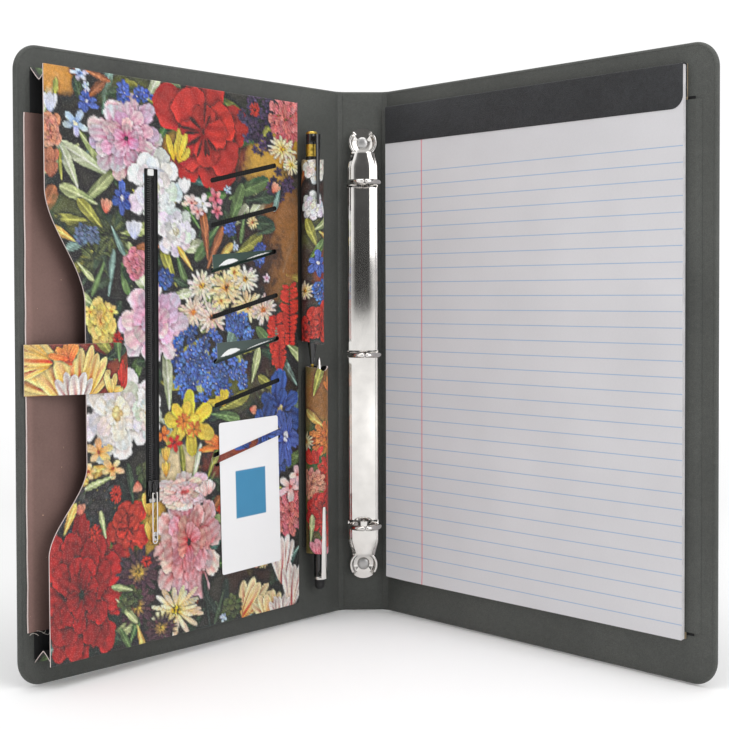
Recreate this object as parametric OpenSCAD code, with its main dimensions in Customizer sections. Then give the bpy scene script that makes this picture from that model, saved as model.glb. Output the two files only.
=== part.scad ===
// Floral ring-binder portfolio case, standing open on its lower edges.
// +Z runs up the spine, the spine lies in the X-Z plane and both covers
// reach towards -Y. The origin is at the foot of the spine.

/* [Case] */
// Height of the covers and the spine
case_h = 332; // [330:1:345]
// Width of each cover, measured from the crease
cover_w = 238; // [236:1:246]
// Width of the spine between the two creases
spine_w = 29; // [29:0.5:34]
// Thickness of a cover, skin to lining
cover_t = 3.4; // [3:0.1:4.5]
// Radius of the outer corners
corner_r = 14; // [8:1:20]
// Angle of the left cover, from lying flat with the spine
left_open = 44.1; // [20:0.1:80]
// Angle of the right cover, from lying flat with the spine
right_open = 48.9; // [20:0.1:80]
// Radius that the soft creases bend round
crease_r = 4.6; // [4:0.1:5]

/* [Layers] */
// Thickness of the outer skin
skin_t = 0.8; // [0.6:0.1:1]
// Thickness of the lining sheet
lining_t = 0.6; // [0.4:0.1:0.8]
// Width of the skin turned over the board's edge
edge_t = 1.2; // [0.8:0.1:2]

/* [Ring mechanism] */
// Height of the middle ring above the foot
ring_mid_z = 165; // [160:0.5:170]
// Distance between neighbouring rings
ring_pitch = 107.95; // [107:0.05:109]
// Outer radius of a ring
ring_r = 10.8; // [9:0.1:10.8]
// Radius of the ring wire
wire_r = 1.6; // [1.2:0.1:1.8]
// Distance of the ring's centre from the spine lining
ring_n = 15.4; // [15:0.1:16]
// Length of the housing
housing_l = 282; // [280:1:284]
// Distance between the two rivets
rivet_pitch = 268.5; // [267:0.5:269]

/* [Document pocket] */
// Distance of the pocket's sewn edge from the crease
pocket_s = 40; // [39:0.5:41]
// Angle at which the gusset holds the pocket open
pocket_tilt = 3.05; // [2.9:0.05:3.3]
// Thickness of the floral panel
panel_t = 1.2; // [1:0.1:1.2]
// Lower edge of the pocket
pocket_z0 = 12; // [11:0.5:13]
// Upper edge of the pocket
pocket_z1 = 320.5; // [319:0.5:321]
// Depth of the finger cut-out in the mouth
mouth_cut = 25; // [22:1:26]

/* [Zip] */
// Distance of the zip from the sewn edge
zip_u = 118.8; // [117:0.1:120]
// Width of the zip window
zip_w = 9.8; // [9.5:0.1:11]
// Lower end of the zip window
zip_z0 = 88.5; // [88:0.5:89]
// Upper end of the zip window
zip_z1 = 272; // [271:0.5:273]

/* [Card slots] */
// Length of a card slot
slot_l = 56; // [55:0.5:58]
// Height of a card slot
slot_h = 2.3; // [2:0.1:2.6]
// Slope of the card slots
slot_tilt = 13.1; // [12:0.1:14]
// Thickness of a card
card_t = 0.3; // [0.3:0.05:0.35]

/* [Pens] */
// Radius of both pens
pen_r = 3.6; // [3.2:0.1:3.7]
// Inner radius of a pen loop
loop_r = 6.2; // [6.1:0.1:6.4]

/* [Writing pad] */
// Width of the pad
pad_w = 215.9; // [214:0.1:217]
// Height of the pad
pad_h = 298.4; // [297:0.1:299]
// Distance of the pad from the crease
pad_s = 5; // [4.8:0.1:6]
// Height of the pad's foot
pad_z = 23; // [22:0.5:24]
// Front face of the pad above the lining
pad_front = 4.6; // [3.6:0.1:4.6]

/* [Hidden] */
$fn = 64;

hinge_gap = 3;
spine_edge = spine_w / 2 - hinge_gap;
left_axis_x = spine_w / 2 - crease_r * tan(left_open / 2);
right_axis_x = spine_w / 2 - crease_r * tan(right_open / 2);
rivet_mid = 164.75;
loop_wall = 0.8;
loop_n = 7.3;
upper_loop_s = 31.8;
lower_loop_s = 28.6;
upper_pen_s = 32.4;
lower_pen_s = 26.6;
slot_u = [46.8, 46.6, 46.7, 45.7, 44.8, 44.5];
slot_z = [274.5, 248.8, 222.9, 196.4, 170.4, 145];
strap_u = 44.8;
strap_z = 113.8;

function smooth(t) = let (c = min(1, max(0, t))) c * c * (3 - 2 * c);
function mouth_u(z) = 187.8 + 1.9 * (z - pocket_z0) / 308
  - mouth_cut * smooth((258 - z) / 60) * smooth((z - 68) / 45);
function panel_n(s) = 1.8 + (s - pocket_s) * tan(pocket_tilt);

// ---- frames ----
// Child coordinates on a cover are [s, -n, z]: s runs from the crease to the
// free edge and n stands off the lining.
module on_left() translate([-spine_w / 2, 0, 0]) rotate([0, 0, left_open]) mirror([1, 0, 0]) children();
module on_right() translate([spine_w / 2, 0, 0]) rotate([0, 0, -right_open]) children();
// Child coordinates on the pocket panel are [u, -m, z].
module on_pocket() on_left() translate([pocket_s, -1.8, 0]) rotate([0, 0, -pocket_tilt]) children();
// A flat shape drawn in [s, z] becomes a plate from n0 to n1.
module slab(n0, n1) translate([0, -n0, 0]) rotate([90, 0, 0]) linear_extrude(n1 - n0) children();

module rounded(w, h, r) {
  translate([0, r]) square([w, h - 2 * r]);
  translate([r, 0]) square([w - 2 * r, h]);
  for (x = [r, w - r], y = [r, h - r]) translate([x, y]) circle(r);
}

module cover_outline(x0, inset) {
  r = corner_r - inset;
  translate([x0, inset]) square([cover_w - corner_r - x0, case_h - 2 * inset]);
  translate([cover_w - corner_r - 1, corner_r]) square([corner_r + 1 - inset, case_h - 2 * corner_r]);
  for (z = [corner_r, case_h - corner_r]) translate([cover_w - corner_r, z]) circle(r);
}

// ---- covers ----
module cover_skin() difference() {
  slab(-cover_t, 0) cover_outline(hinge_gap, 0);
  slab(-cover_t + skin_t, 0.1) cover_outline(hinge_gap - 1, edge_t);
}
module cover_board() slab(-cover_t + skin_t, -lining_t) cover_outline(hinge_gap, edge_t);
module cover_lining() slab(-lining_t, 0) cover_outline(hinge_gap, edge_t);

module left_skin() color([0.25, 0.26, 0.25]) on_left() cover_skin();
module left_board() color([0.5, 0.47, 0.42]) on_left() cover_board();
module left_lining() color([0.33, 0.34, 0.33]) on_left() cover_lining();
module right_skin() color([0.25, 0.26, 0.25]) on_right() cover_skin();
module right_board() color([0.5, 0.47, 0.42]) on_right() cover_board();
module right_lining() color([0.33, 0.34, 0.33]) on_right() cover_lining();

// ---- spine ----
module rivet_holes() for (k = [-1, 1])
  translate([0, -1, rivet_mid + k * rivet_pitch / 2]) rotate([-90, 0, 0]) cylinder(r = 2.1, h = 8);
module spine_skin() color([0.25, 0.26, 0.25]) difference() {
  translate([-spine_edge, 0, 0]) cube([2 * spine_edge, cover_t, case_h]);
  translate([-spine_edge - 1, -1, edge_t]) cube([2 * spine_edge + 2, 1 + cover_t - skin_t, case_h - 2 * edge_t]);
  rivet_holes();
}
module spine_board() color([0.5, 0.47, 0.42]) difference() {
  translate([-spine_edge, lining_t, edge_t]) cube([2 * spine_edge, cover_t - skin_t - lining_t, case_h - 2 * edge_t]);
  rivet_holes();
}
module spine_lining() color([0.33, 0.34, 0.33]) difference() {
  translate([-spine_edge, 0, edge_t]) cube([2 * spine_edge, lining_t, case_h - 2 * edge_t]);
  rivet_holes();
}

// Soft strip from the spine's edge round the crease to the cover's edge.
module hinge_strip(ax, angle) translate([0, 0, 0.5]) linear_extrude(case_h - 1) {
  t = 1.6;
  translate([spine_edge + 0.02, 0]) square([ax - spine_edge - 0.02, t]);
  intersection() {
    translate([ax, -crease_r]) difference() { circle(crease_r + t); circle(crease_r); }
    translate([ax, -crease_r]) polygon([[0, 0], [0, 12], [14 * sin(angle / 2), 14 * cos(angle / 2)],
      [14 * sin(angle), 14 * cos(angle)]]);
  }
  translate([spine_w / 2, 0]) rotate(-angle) translate([crease_r * tan(angle / 2), 0])
    square([hinge_gap - 0.1 - crease_r * tan(angle / 2), t]);
}
module left_hinge_strip() color([0.3, 0.31, 0.3]) mirror([1, 0, 0]) hinge_strip(left_axis_x, left_open);
module right_hinge_strip() color([0.3, 0.31, 0.3]) hinge_strip(right_axis_x, right_open);

// ---- ring mechanism ----
module ring_housing() color([0.8, 0.8, 0.82]) difference() {
  union() {
    translate([0, 0, ring_mid_z - 128.5]) linear_extrude(257) {
      intersection() {
        translate([0, 2.86]) difference() { circle(10.36, $fn = 128); circle(9.36, $fn = 128); }
        translate([-12, -12]) square([24, 11.5]);
      }
      for (k = [-1, 1]) translate([k * 8.55 - 0.65, -1.3]) square([1.3, 0.8]);
    }
    for (k = [-1, 1]) translate([0, 0, rivet_mid + k * rivet_pitch / 2]) rotate([90, 0, 0]) difference() {
      cylinder(r = 9.4, h = 6.2);
      translate([0, 0, 1.4]) cylinder(r = 6.6, h = 6);
      translate([-6.6, k > 0 ? 0 : -10, 1.4]) cube([13.2, 10, 6]);
    }
  }
  for (k = [-1, 1]) translate([0, 1, rivet_mid + k * rivet_pitch / 2]) rotate([90, 0, 0]) cylinder(r = 2.1, h = 4);
  for (k = [-1, 0, 1], m = [-1, 1])
    translate([m > 0 ? 2 : -10.6, -9, ring_mid_z + k * ring_pitch - 2.3]) cube([8.6, 8.7, 4.6]);
}
module housing_rivets() color([0.75, 0.75, 0.77]) for (k = [-1, 1])
  translate([0, 0, rivet_mid + k * rivet_pitch / 2]) {
    translate([0, -1.4, 0]) rotate([90, 0, 0]) cylinder(r = 3.8, h = 1.1);
    translate([0, cover_t + 0.01, 0]) rotate([90, 0, 0]) cylinder(r = 2, h = cover_t + 1.42);
    translate([0, cover_t + 1, 0]) rotate([90, 0, 0]) cylinder(r = 4.5, h = 1);
  }

module blade() translate([0.2, -3, ring_mid_z - 122]) cube([6.4, 1, 244]);
module ring_blade_right() color([0.6, 0.6, 0.62]) blade();
module ring_blade_left() color([0.6, 0.6, 0.62]) mirror([1, 0, 0]) blade();

module half_ring(k) translate([0, -ring_n, ring_mid_z + k * ring_pitch]) mirror([0, 0, 1]) {
  c = ring_r - wire_r;
  difference() {
    rotate([0, 0, 120]) rotate_extrude($fn = 96) translate([c, 0]) circle(wire_r, $fn = 32);
    rotate([0, 0, 62]) translate([-20, 0, -5]) cube([40, 20, 10]);
    rotate([0, 0, -89]) translate([-20, -20, -5]) cube([40, 20, 10]);
  }
  translate([c * cos(62), c * sin(62), 0]) {
    sphere(wire_r + 0.04, $fn = 32);
    rotate([-90, 0, 0]) cylinder(r = wire_r - 0.04, h = ring_n - 3 - c * sin(62), $fn = 32);
  }
}
module half_ring_right_low() color([0.82, 0.82, 0.84]) half_ring(-1);
module half_ring_right_mid() color([0.82, 0.82, 0.84]) half_ring(0);
module half_ring_right_top() color([0.82, 0.82, 0.84]) half_ring(1);
module half_ring_left_low() color([0.82, 0.82, 0.84]) rotate([0, 180, 0]) translate([0, 0, -2 * ring_mid_z]) half_ring(1);
module half_ring_left_mid() color([0.82, 0.82, 0.84]) rotate([0, 180, 0]) translate([0, 0, -2 * ring_mid_z]) half_ring(0);
module half_ring_left_top() color([0.82, 0.82, 0.84]) rotate([0, 180, 0]) translate([0, 0, -2 * ring_mid_z]) half_ring(-1);

// ---- document pocket on the left cover ----
module document_sheet() color([0.45, 0.36, 0.34]) on_left()
  slab(0.52, 0.98) translate([75, 28.5]) square([158, 268]);
module tab_base() color([0.75, 0.55, 0.3]) on_left()
  slab(0.02, 0.5) translate([206, 151]) square([28, 26.5]);

module panel_outline() polygon(concat(
  [for (z = [pocket_z0 : 3.5 : pocket_z1 - 3]) [mouth_u(z), z]],
  [[mouth_u(pocket_z1), pocket_z1], [0, pocket_z1], [0, pocket_z0]]));
module slot_cut(u, z, l, h) translate([u, z]) rotate(-slot_tilt) translate([-l / 2, -h / 2]) rounded(l, h, h / 2 - 0.01);

module pocket_front() color([0.75, 0.3, 0.35]) on_pocket() slab(0, panel_t) difference() {
  panel_outline();
  for (i = [0 : 5]) slot_cut(slot_u[i], slot_z[i], slot_l, slot_h);
  slot_cut(strap_u, strap_z, slot_l, slot_h + 6);
  translate([zip_u - zip_w / 2, zip_z0]) square([zip_w, zip_z1 - zip_z0]);
}
module card_strap() color([0.7, 0.5, 0.3]) on_pocket() difference() {
  slab(panel_t, panel_t + 1.35) slot_cut(strap_u, strap_z, slot_l + 4, 3.8);
  slab(panel_t - 0.1, panel_t + 0.85) translate([strap_u, strap_z]) rotate(-slot_tilt) translate([-27.4, -5]) square([54.8, 10]);
}
module card_backing() color([0.08, 0.08, 0.08]) on_pocket() slab(-1.7, -1.3) translate([12, 34]) square([70, 256]);

// A card stands in front of the panel above its slot and behind it below.
module above_line(u, z) translate([u, z]) rotate(-slot_tilt) translate([-60, 0]) square([120, 60]);
module below_line(u, z) translate([u, z]) rotate(-slot_tilt) translate([-60, -120]) square([120, 120]);
module slot_card(i, du, top, tilt, back) on_pocket() {
  u = slot_u[i] + du; z = slot_z[i];
  slab(panel_t + 0.05, panel_t + 0.05 + card_t) intersection() {
    translate([u, z + top]) rotate(-tilt) translate([-24.6, -88]) square([49.2, 88]);
    above_line(slot_u[i], z - 0.4);
  }
  slab(-back - card_t, -back) intersection() {
    translate([u, z + top]) rotate(-tilt) translate([-24.6, -88]) square([49.2, 88]);
    below_line(slot_u[i], z + 0.4);
  }
  slab(-back - card_t, panel_t + 0.05 + card_t) intersection() {
    translate([u, z + top]) rotate(-tilt) translate([-24.6, -88]) square([49.2, 88]);
    above_line(slot_u[i], z - 0.4);
    below_line(slot_u[i], z + 0.4);
  }
}
module slot_card_upper() color([0.12, 0.2, 0.16]) slot_card(2, 1.7, 4.9, 4.6, 0.75);
module slot_card_lower() color([0.2, 0.24, 0.22]) slot_card(4, 0.3, 5.7, 2.6, 0.2);
module business_card() color([0.95, 0.95, 0.94]) on_pocket()
  slab(panel_t + 0.42, panel_t + 0.77) translate([strap_u - 0.4, 129.3]) rotate(-1.5) translate([-24.6, -88.6]) square([49.2, 88.6]);

module gusset(zp, zf, lift) on_left() {
  s1 = pocket_s + 3; s2 = pocket_s + 186;
  for (side = [0, 1]) hull() {
    for (q = [[s1, side ? panel_n(s1) - 0.35 : 0.5, zp, panel_n(s1) / 2],
              [s2, side ? panel_n(s2) - 0.45 : 0.5, zp, panel_n(s2) / 2]]) {
      translate([q[0], -q[1], q[2]]) sphere(0.3, $fn = 10);
      translate([q[0], -q[3] - 0.1, q[2] + (q[0] == s1 ? lift * 0.25 : lift)]) sphere(0.3, $fn = 10);
    }
  }
}
module gusset_top() color([0.5, 0.3, 0.3]) gusset(320, 0, -7);
module gusset_bottom() color([0.5, 0.3, 0.3]) gusset(12.5, 0, 7);

// ---- zip on the pocket panel ----
module zip_tape() color([0.06, 0.06, 0.06]) on_pocket() slab(-0.6, -0.01)
  translate([zip_u - 7.5, zip_z0 - 4]) square([15, zip_z1 - zip_z0 + 8]);
module zip_teeth() color([0.1, 0.1, 0.1]) on_pocket() slab(-0.01, 1)
  translate([zip_u - 1.6, zip_z0 + 2.5]) square([3.2, zip_z1 - zip_z0 - 6.5]);
module zip_stops() color([0.8, 0.8, 0.8]) on_pocket() {
  slab(-0.01, 1.3) translate([zip_u - 2, zip_z1 - 3.9]) square([4, 3.6]);
  slab(-0.01, 1.2) translate([zip_u - 2, zip_z0 + 0.2]) square([4, 2.2]);
}
module zip_pouch() color([0.07, 0.07, 0.07]) on_pocket() slab(-1.2, -0.8) translate([96, 66]) square([62, 216]);
module panel_magnet() color([0.6, 0.6, 0.6]) on_pocket() slab(-0.75, -0.01) translate([145, 164.25]) circle(5);
slider_z = zip_z0 + 3;
module zip_slider() color([0.15, 0.15, 0.16]) on_pocket() {
  slab(1.3, 2) translate([zip_u - 3.6, slider_z]) rounded(7.2, 9.5, 1.5);
  for (k = [-1, 1]) slab(0.3, 1.4) translate([zip_u + k * 2.9 - 0.7, slider_z + 1]) square([1.4, 7.5]);
  difference() {
    slab(1.9, 4) translate([zip_u - 0.8, slider_z + 1]) square([1.6, 7.5]);
    translate([zip_u - 2, -3, slider_z + 2.6]) rotate([0, 90, 0]) cylinder(r = 0.75, h = 4, $fn = 24);
  }
}
module zip_puller() color([0.75, 0.75, 0.77]) on_pocket() {
  translate([zip_u - 1.7, -3, slider_z + 2.6]) rotate([0, 90, 0]) cylinder(r = 0.6, h = 3.4, $fn = 24);
  slab(2.45, 3.55) translate([zip_u, 0]) difference() {
    translate([-2.2, slider_z - 27]) rounded(4.4, 30.35, 1.6);
    translate([-1.1, slider_z - 25.4]) rounded(2.2, 28, 1);
    translate([-1.1, slider_z]) square([2.2, 6]);
  }
}

// ---- closing tab ----
tab_path = [[235.1, 1.55], [206.6, 12.65], [204.4, 12.95], [177.2, 11.45]];
module tab_section() {
  t = 0.7;
  for (i = [0 : 2]) {
    a = tab_path[i]; b = tab_path[i + 1];
    d = (b - a) / norm(b - a); p = [-d[1], d[0]] * t;
    polygon([for (q = [a + p, b + p, b - p, a - p]) [q[0], -q[1]]]);
    if (i > 0) translate([a[0], -a[1]]) circle(t, $fn = 24);
  }
}
module closing_tab() color([0.85, 0.65, 0.3]) difference() {
  on_left() intersection() {
    linear_extrude(400) tab_section();
    slab(-5, 30) translate([177.3, 151]) {
      translate([6, 0]) square([60, 26.5]);
      translate([0, 6]) square([10, 14.5]);
      for (z = [6, 20.5]) translate([6, z]) circle(6);
    }
  }
  on_pocket() slab(panel_t, panel_t + 0.9) translate([145, 164.25]) circle(5.2);
}
module tab_magnet() color([0.6, 0.6, 0.6]) on_pocket() slab(panel_t + 0.3, panel_t + 0.86) translate([145, 164.25]) circle(5);

// ---- pens and loops ----
module loop(s, z0, z1) on_left() difference() {
  translate([s, 0, z0]) linear_extrude(z1 - z0) {
    translate([0, -loop_n]) circle(loop_r + loop_wall);
    translate([-6, -0.75]) square([12, 0.74]);
  }
  translate([s, -loop_n, z0 - 1]) cylinder(r = loop_r, h = z1 - z0 + 2);
}
module pen_loop_upper() color([0.8, 0.5, 0.45]) loop(upper_loop_s, 171.5, 286);
module pen_loop_lower() color([0.45, 0.38, 0.2]) loop(lower_loop_s, 42, 158.5);

module pen_axis(s) on_left() translate([s, -loop_n, 0]) children();
module pen_barrel() color([0.05, 0.05, 0.06]) pen_axis(upper_pen_s) {
  translate([0, 0, 178]) cylinder(r = pen_r, h = 109.7);
  translate([0, 0, 160]) cylinder(r1 = 1.1, r2 = pen_r, h = 18);
}
module pen_tip() color([0.8, 0.65, 0.2]) pen_axis(upper_pen_s) translate([0, 0, 156.5]) cylinder(r1 = 0.4, r2 = 1.1, h = 3.5);
module pen_gold_trim() color([0.8, 0.65, 0.15]) pen_axis(upper_pen_s) {
  translate([0, 0, 287.7]) cylinder(r = pen_r + 0.05, h = 7.5);
  translate([0, 0, 301.5]) cylinder(r1 = pen_r, r2 = pen_r - 0.5, h = 1.5);
}
module pen_cap() color([0.05, 0.05, 0.06]) pen_axis(upper_pen_s) translate([0, 0, 295.2]) cylinder(r = pen_r - 0.1, h = 6.3);
module clip(z0, z1, zb, w, turn) rotate([0, 0, turn]) {
  translate([-w / 2, -8.6, z0]) cube([w, 0.9, z1 - z0]);
  translate([-w / 2, -7.8, zb]) cube([w, 7.8 - pen_r - 0.1, 3.6]);
}
module pen_clip() color([0.07, 0.07, 0.08]) pen_axis(upper_pen_s) clip(258, 301, 296.5, 3.4, 16);
module stylus_barrel() color([0.05, 0.05, 0.06]) pen_axis(lower_pen_s) translate([0, 0, 27.5]) cylinder(r = pen_r, h = 112.5);
module stylus_nose() color([0.85, 0.85, 0.87]) pen_axis(lower_pen_s) {
  translate([0, 0, 140]) cylinder(r1 = pen_r, r2 = 1.3, h = 20.5);
  translate([0, 0, 160.5]) cylinder(r1 = 1.3, r2 = 0.4, h = 3.2);
}
module stylus_ring() color([0.85, 0.85, 0.87]) pen_axis(lower_pen_s) translate([0, 0, 25.6]) cylinder(r = pen_r + 0.2, h = 1.9);
module stylus_tip() color([0.05, 0.05, 0.05]) pen_axis(lower_pen_s) {
  translate([0, 0, 22.3]) cylinder(r = 3.2, h = 3.3);
  translate([0, 0, 22.3]) sphere(3.2);
}
module stylus_clip() color([0.85, 0.85, 0.87]) pen_axis(lower_pen_s) clip(27, 72, 27.8, 3.8, 0);

// ---- writing pad on the right cover ----
module pad_sleeve() color([0.33, 0.34, 0.33]) on_right() {
  slab(0.9, 1.5) translate([3.2, 27]) square([226.3, 275.5]);
  slab(0.01, 0.95) translate([3.2, 27]) square([1.2, 275.5]);
  slab(0.01, 0.95) translate([228, 27]) square([1.5, 275.5]);
}
module pad_backing() color([0.6, 0.5, 0.38]) on_right() slab(0.15, 0.7) translate([pad_s, pad_z]) square([pad_w, pad_h]);
module pad_sheets() color([0.93, 0.93, 0.92]) on_right() slab(1.7, pad_front - 0.12) translate([pad_s, pad_z]) square([pad_w, pad_h - 0.4]);
module pad_top_sheet() color([0.96, 0.96, 0.95]) on_right() slab(pad_front - 0.11, pad_front)
  translate([pad_s, pad_z]) square([pad_w, pad_h - 0.4]);
module pad_binding() color([0.1, 0.1, 0.11]) on_right() {
  slab(pad_front + 0.01, pad_front + 0.3) translate([pad_s, 298]) square([pad_w, pad_z + pad_h - 298]);
  slab(0.71, pad_front + 0.1) translate([pad_s, pad_z + pad_h - 0.38]) square([pad_w, 0.38]);
  slab(0.71, 1.65) translate([pad_s, 303.5]) square([pad_w, pad_z + pad_h - 303.6]);
}

spine_board();
spine_skin();
spine_lining();
left_hinge_strip();
right_hinge_strip();
ring_housing();
housing_rivets();
ring_blade_left();
ring_blade_right();
half_ring_left_low();
half_ring_left_mid();
half_ring_left_top();
half_ring_right_low();
half_ring_right_mid();
half_ring_right_top();
left_board();
left_skin();
left_lining();
tab_base();
document_sheet();
pen_loop_upper();
pen_loop_lower();
gusset_top();
gusset_bottom();
pocket_front();
card_strap();
card_backing();
slot_card_upper();
slot_card_lower();
zip_tape();
zip_teeth();
zip_stops();
zip_pouch();
panel_magnet();
zip_slider();
zip_puller();
closing_tab();
tab_magnet();
business_card();
pen_barrel();
pen_gold_trim();
pen_cap();
pen_clip();
pen_tip();
stylus_barrel();
stylus_nose();
stylus_ring();
stylus_clip();
stylus_tip();
right_board();
right_skin();
right_lining();
pad_sleeve();
pad_backing();
pad_sheets();
pad_top_sheet();
pad_binding();
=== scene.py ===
"""Looks of the floral portfolio case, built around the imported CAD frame."""
import math

import bmesh
import bpy
import numpy as np
from mathutils import Matrix, Vector

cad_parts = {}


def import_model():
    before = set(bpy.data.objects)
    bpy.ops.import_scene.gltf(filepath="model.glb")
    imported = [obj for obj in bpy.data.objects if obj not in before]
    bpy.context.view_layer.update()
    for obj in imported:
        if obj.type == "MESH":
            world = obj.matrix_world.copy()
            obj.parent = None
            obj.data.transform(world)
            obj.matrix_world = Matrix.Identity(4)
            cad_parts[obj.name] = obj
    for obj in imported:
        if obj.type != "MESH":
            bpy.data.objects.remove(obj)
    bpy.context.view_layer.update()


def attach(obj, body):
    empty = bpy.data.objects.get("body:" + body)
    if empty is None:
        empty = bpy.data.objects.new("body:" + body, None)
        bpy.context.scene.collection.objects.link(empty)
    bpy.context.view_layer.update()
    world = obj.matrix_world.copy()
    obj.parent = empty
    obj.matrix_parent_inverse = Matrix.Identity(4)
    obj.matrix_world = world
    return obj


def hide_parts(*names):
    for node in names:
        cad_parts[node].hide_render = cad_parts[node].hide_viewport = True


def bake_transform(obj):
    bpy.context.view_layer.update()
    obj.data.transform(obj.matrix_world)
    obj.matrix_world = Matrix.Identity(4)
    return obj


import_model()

rng = np.random.default_rng(7)

# ---------------------------------------------------------------- frames
LO, RO = math.radians(44.1), math.radians(48.9)
TILT = math.radians(3.05)
HALF = 14.5
H, W = 332.0, 238.0
CR = 4.6
AXL = HALF - CR * math.tan(LO / 2)
AXR = HALF - CR * math.tan(RO / 2)


def frame_of(origin, e1, e2, e3):
    return np.array(origin, float), np.array([e1, e2, e3], float).T


S_L = np.array([-math.cos(LO), -math.sin(LO), 0.0])
N_L = np.array([math.sin(LO), -math.cos(LO), 0.0])
S_R = np.array([math.cos(RO), -math.sin(RO), 0.0])
N_R = np.array([-math.sin(RO), -math.cos(RO), 0.0])
U_P = math.cos(TILT) * S_L + math.sin(TILT) * N_L
M_P = -math.sin(TILT) * S_L + math.cos(TILT) * N_L
ZZ = np.array([0.0, 0.0, 1.0])
LEFT = frame_of((-HALF, 0, 0), S_L, N_L, ZZ)          # (s, n, z)
RIGHT = frame_of((HALF, 0, 0), S_R, N_R, ZZ)          # (s, n, z)
SPINE = frame_of((0, 0, 0), (1, 0, 0), (0, -1, 0), ZZ)  # (x, n, z)
POCKET = frame_of(np.array([-HALF, 0, 0]) + 40 * S_L + 1.8 * N_L, U_P, M_P, ZZ)  # (u, m, z)


def world(fr, pts):
    """Local millimetres to world metres."""
    return (fr[0] + np.asarray(pts, float) @ fr[1].T) * 0.001


# ---------------------------------------------------------------- node helpers
def new_mat(name):
    m = bpy.data.materials.new(name)
    m.use_nodes = True
    nt = m.node_tree
    nt.nodes.clear()
    out = nt.nodes.new("ShaderNodeOutputMaterial")
    b = nt.nodes.new("ShaderNodeBsdfPrincipled")
    nt.links.new(b.outputs[0], out.inputs[0])
    return m, nt, b


def setv(node, **kw):
    for k, v in kw.items():
        s = node.inputs[k.replace("_", " ")]
        s.default_value = v


def lin(c):
    """sRGB 0-255 to linear."""
    c = np.asarray(c, float) / 255.0
    return np.where(c <= 0.04045, c / 12.92, ((c + 0.055) / 1.055) ** 2.4)


def rgba(c):
    v = lin(c)
    return (float(v[0]), float(v[1]), float(v[2]), 1.0)


def N(nt, kind, **props):
    n = nt.nodes.new(kind)
    for k, v in props.items():
        setattr(n, k, v)
    return n


def coords(nt, scale=1000.0):
    """Object coordinates in millimetres."""
    t = N(nt, "ShaderNodeTexCoord")
    mp = N(nt, "ShaderNodeMapping")
    mp.inputs["Scale"].default_value = (scale, scale, scale)
    nt.links.new(t.outputs["Object"], mp.inputs["Vector"])
    return mp.outputs["Vector"]


def noise(nt, vec, scale, detail=4.0, rough=0.55, dist=0.0):
    n = N(nt, "ShaderNodeTexNoise")
    n.inputs["Scale"].default_value = scale
    n.inputs["Detail"].default_value = detail
    n.inputs["Roughness"].default_value = rough
    n.inputs["Distortion"].default_value = dist
    nt.links.new(vec, n.inputs["Vector"])
    return n.outputs["Fac"]


def voronoi(nt, vec, scale, feature="F1", rand=1.0, smooth=0.3):
    n = N(nt, "ShaderNodeTexVoronoi", feature=feature)
    n.inputs["Scale"].default_value = scale
    n.inputs["Randomness"].default_value = rand
    if feature == "SMOOTH_F1":
        n.inputs["Smoothness"].default_value = smooth
    nt.links.new(vec, n.inputs["Vector"])
    return n.outputs["Distance"]


def ramp(nt, fac, stops):
    r = N(nt, "ShaderNodeValToRGB")
    els = r.color_ramp.elements
    while len(els) < len(stops):
        els.new(0.5)
    for e, (p, c) in zip(els, stops):
        e.position = p
        e.color = c if len(c) == 4 else (*c, 1.0)
    nt.links.new(fac, r.inputs["Fac"])
    return r.outputs["Color"]


def math_(nt, op, a, b=None, c=None):
    n = N(nt, "ShaderNodeMath", operation=op)
    for i, v in enumerate((a, b, c)):
        if v is None:
            continue
        if isinstance(v, (int, float)):
            n.inputs[i].default_value = v
        else:
            nt.links.new(v, n.inputs[i])
    return n.outputs[0]


def mixc(nt, fac, a, b, mode="MIX"):
    n = N(nt, "ShaderNodeMix", data_type="RGBA", blend_type=mode)
    for sock, v in ((n.inputs["Factor"], fac), (n.inputs[6], a), (n.inputs[7], b)):
        if isinstance(v, (int, float, tuple)):
            sock.default_value = v
        else:
            nt.links.new(v, sock)
    return n.outputs[2]


def bump(nt, height, strength, dist_mm, normal=None):
    n = N(nt, "ShaderNodeBump")
    n.inputs["Strength"].default_value = strength
    n.inputs["Distance"].default_value = dist_mm * 0.001
    nt.links.new(height, n.inputs["Height"])
    if normal is not None:
        nt.links.new(normal, n.inputs["Normal"])
    return n.outputs["Normal"]


def leather_height(nt, v, cell=1.0, fine=1.0):
    """Pebbled grain: smooth cells with creases between them and fine pores."""
    warp = N(nt, "ShaderNodeTexNoise")
    warp.inputs["Scale"].default_value = 0.9 * cell
    warp.inputs["Detail"].default_value = 2.0
    nt.links.new(v, warp.inputs["Vector"])
    mix = N(nt, "ShaderNodeVectorMath", operation="MULTIPLY_ADD")
    nt.links.new(warp.outputs["Color"], mix.inputs[0])
    mix.inputs[1].default_value = (0.9, 0.9, 0.9)
    nt.links.new(v, mix.inputs[2])
    vv = mix.outputs[0]
    d = voronoi(nt, vv, cell, "F1")
    e = voronoi(nt, vv, cell, "DISTANCE_TO_EDGE")
    crease = math_(nt, "SMOOTH_MIN", e, 0.22, 0.12)
    f = noise(nt, v, 3.2 * fine, 4.0, 0.6)
    h = math_(nt, "ADD", math_(nt, "MULTIPLY", crease, 3.4), math_(nt, "MULTIPLY", d, -0.35))
    return math_(nt, "ADD", h, math_(nt, "MULTIPLY", f, 0.35)), crease


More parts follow.
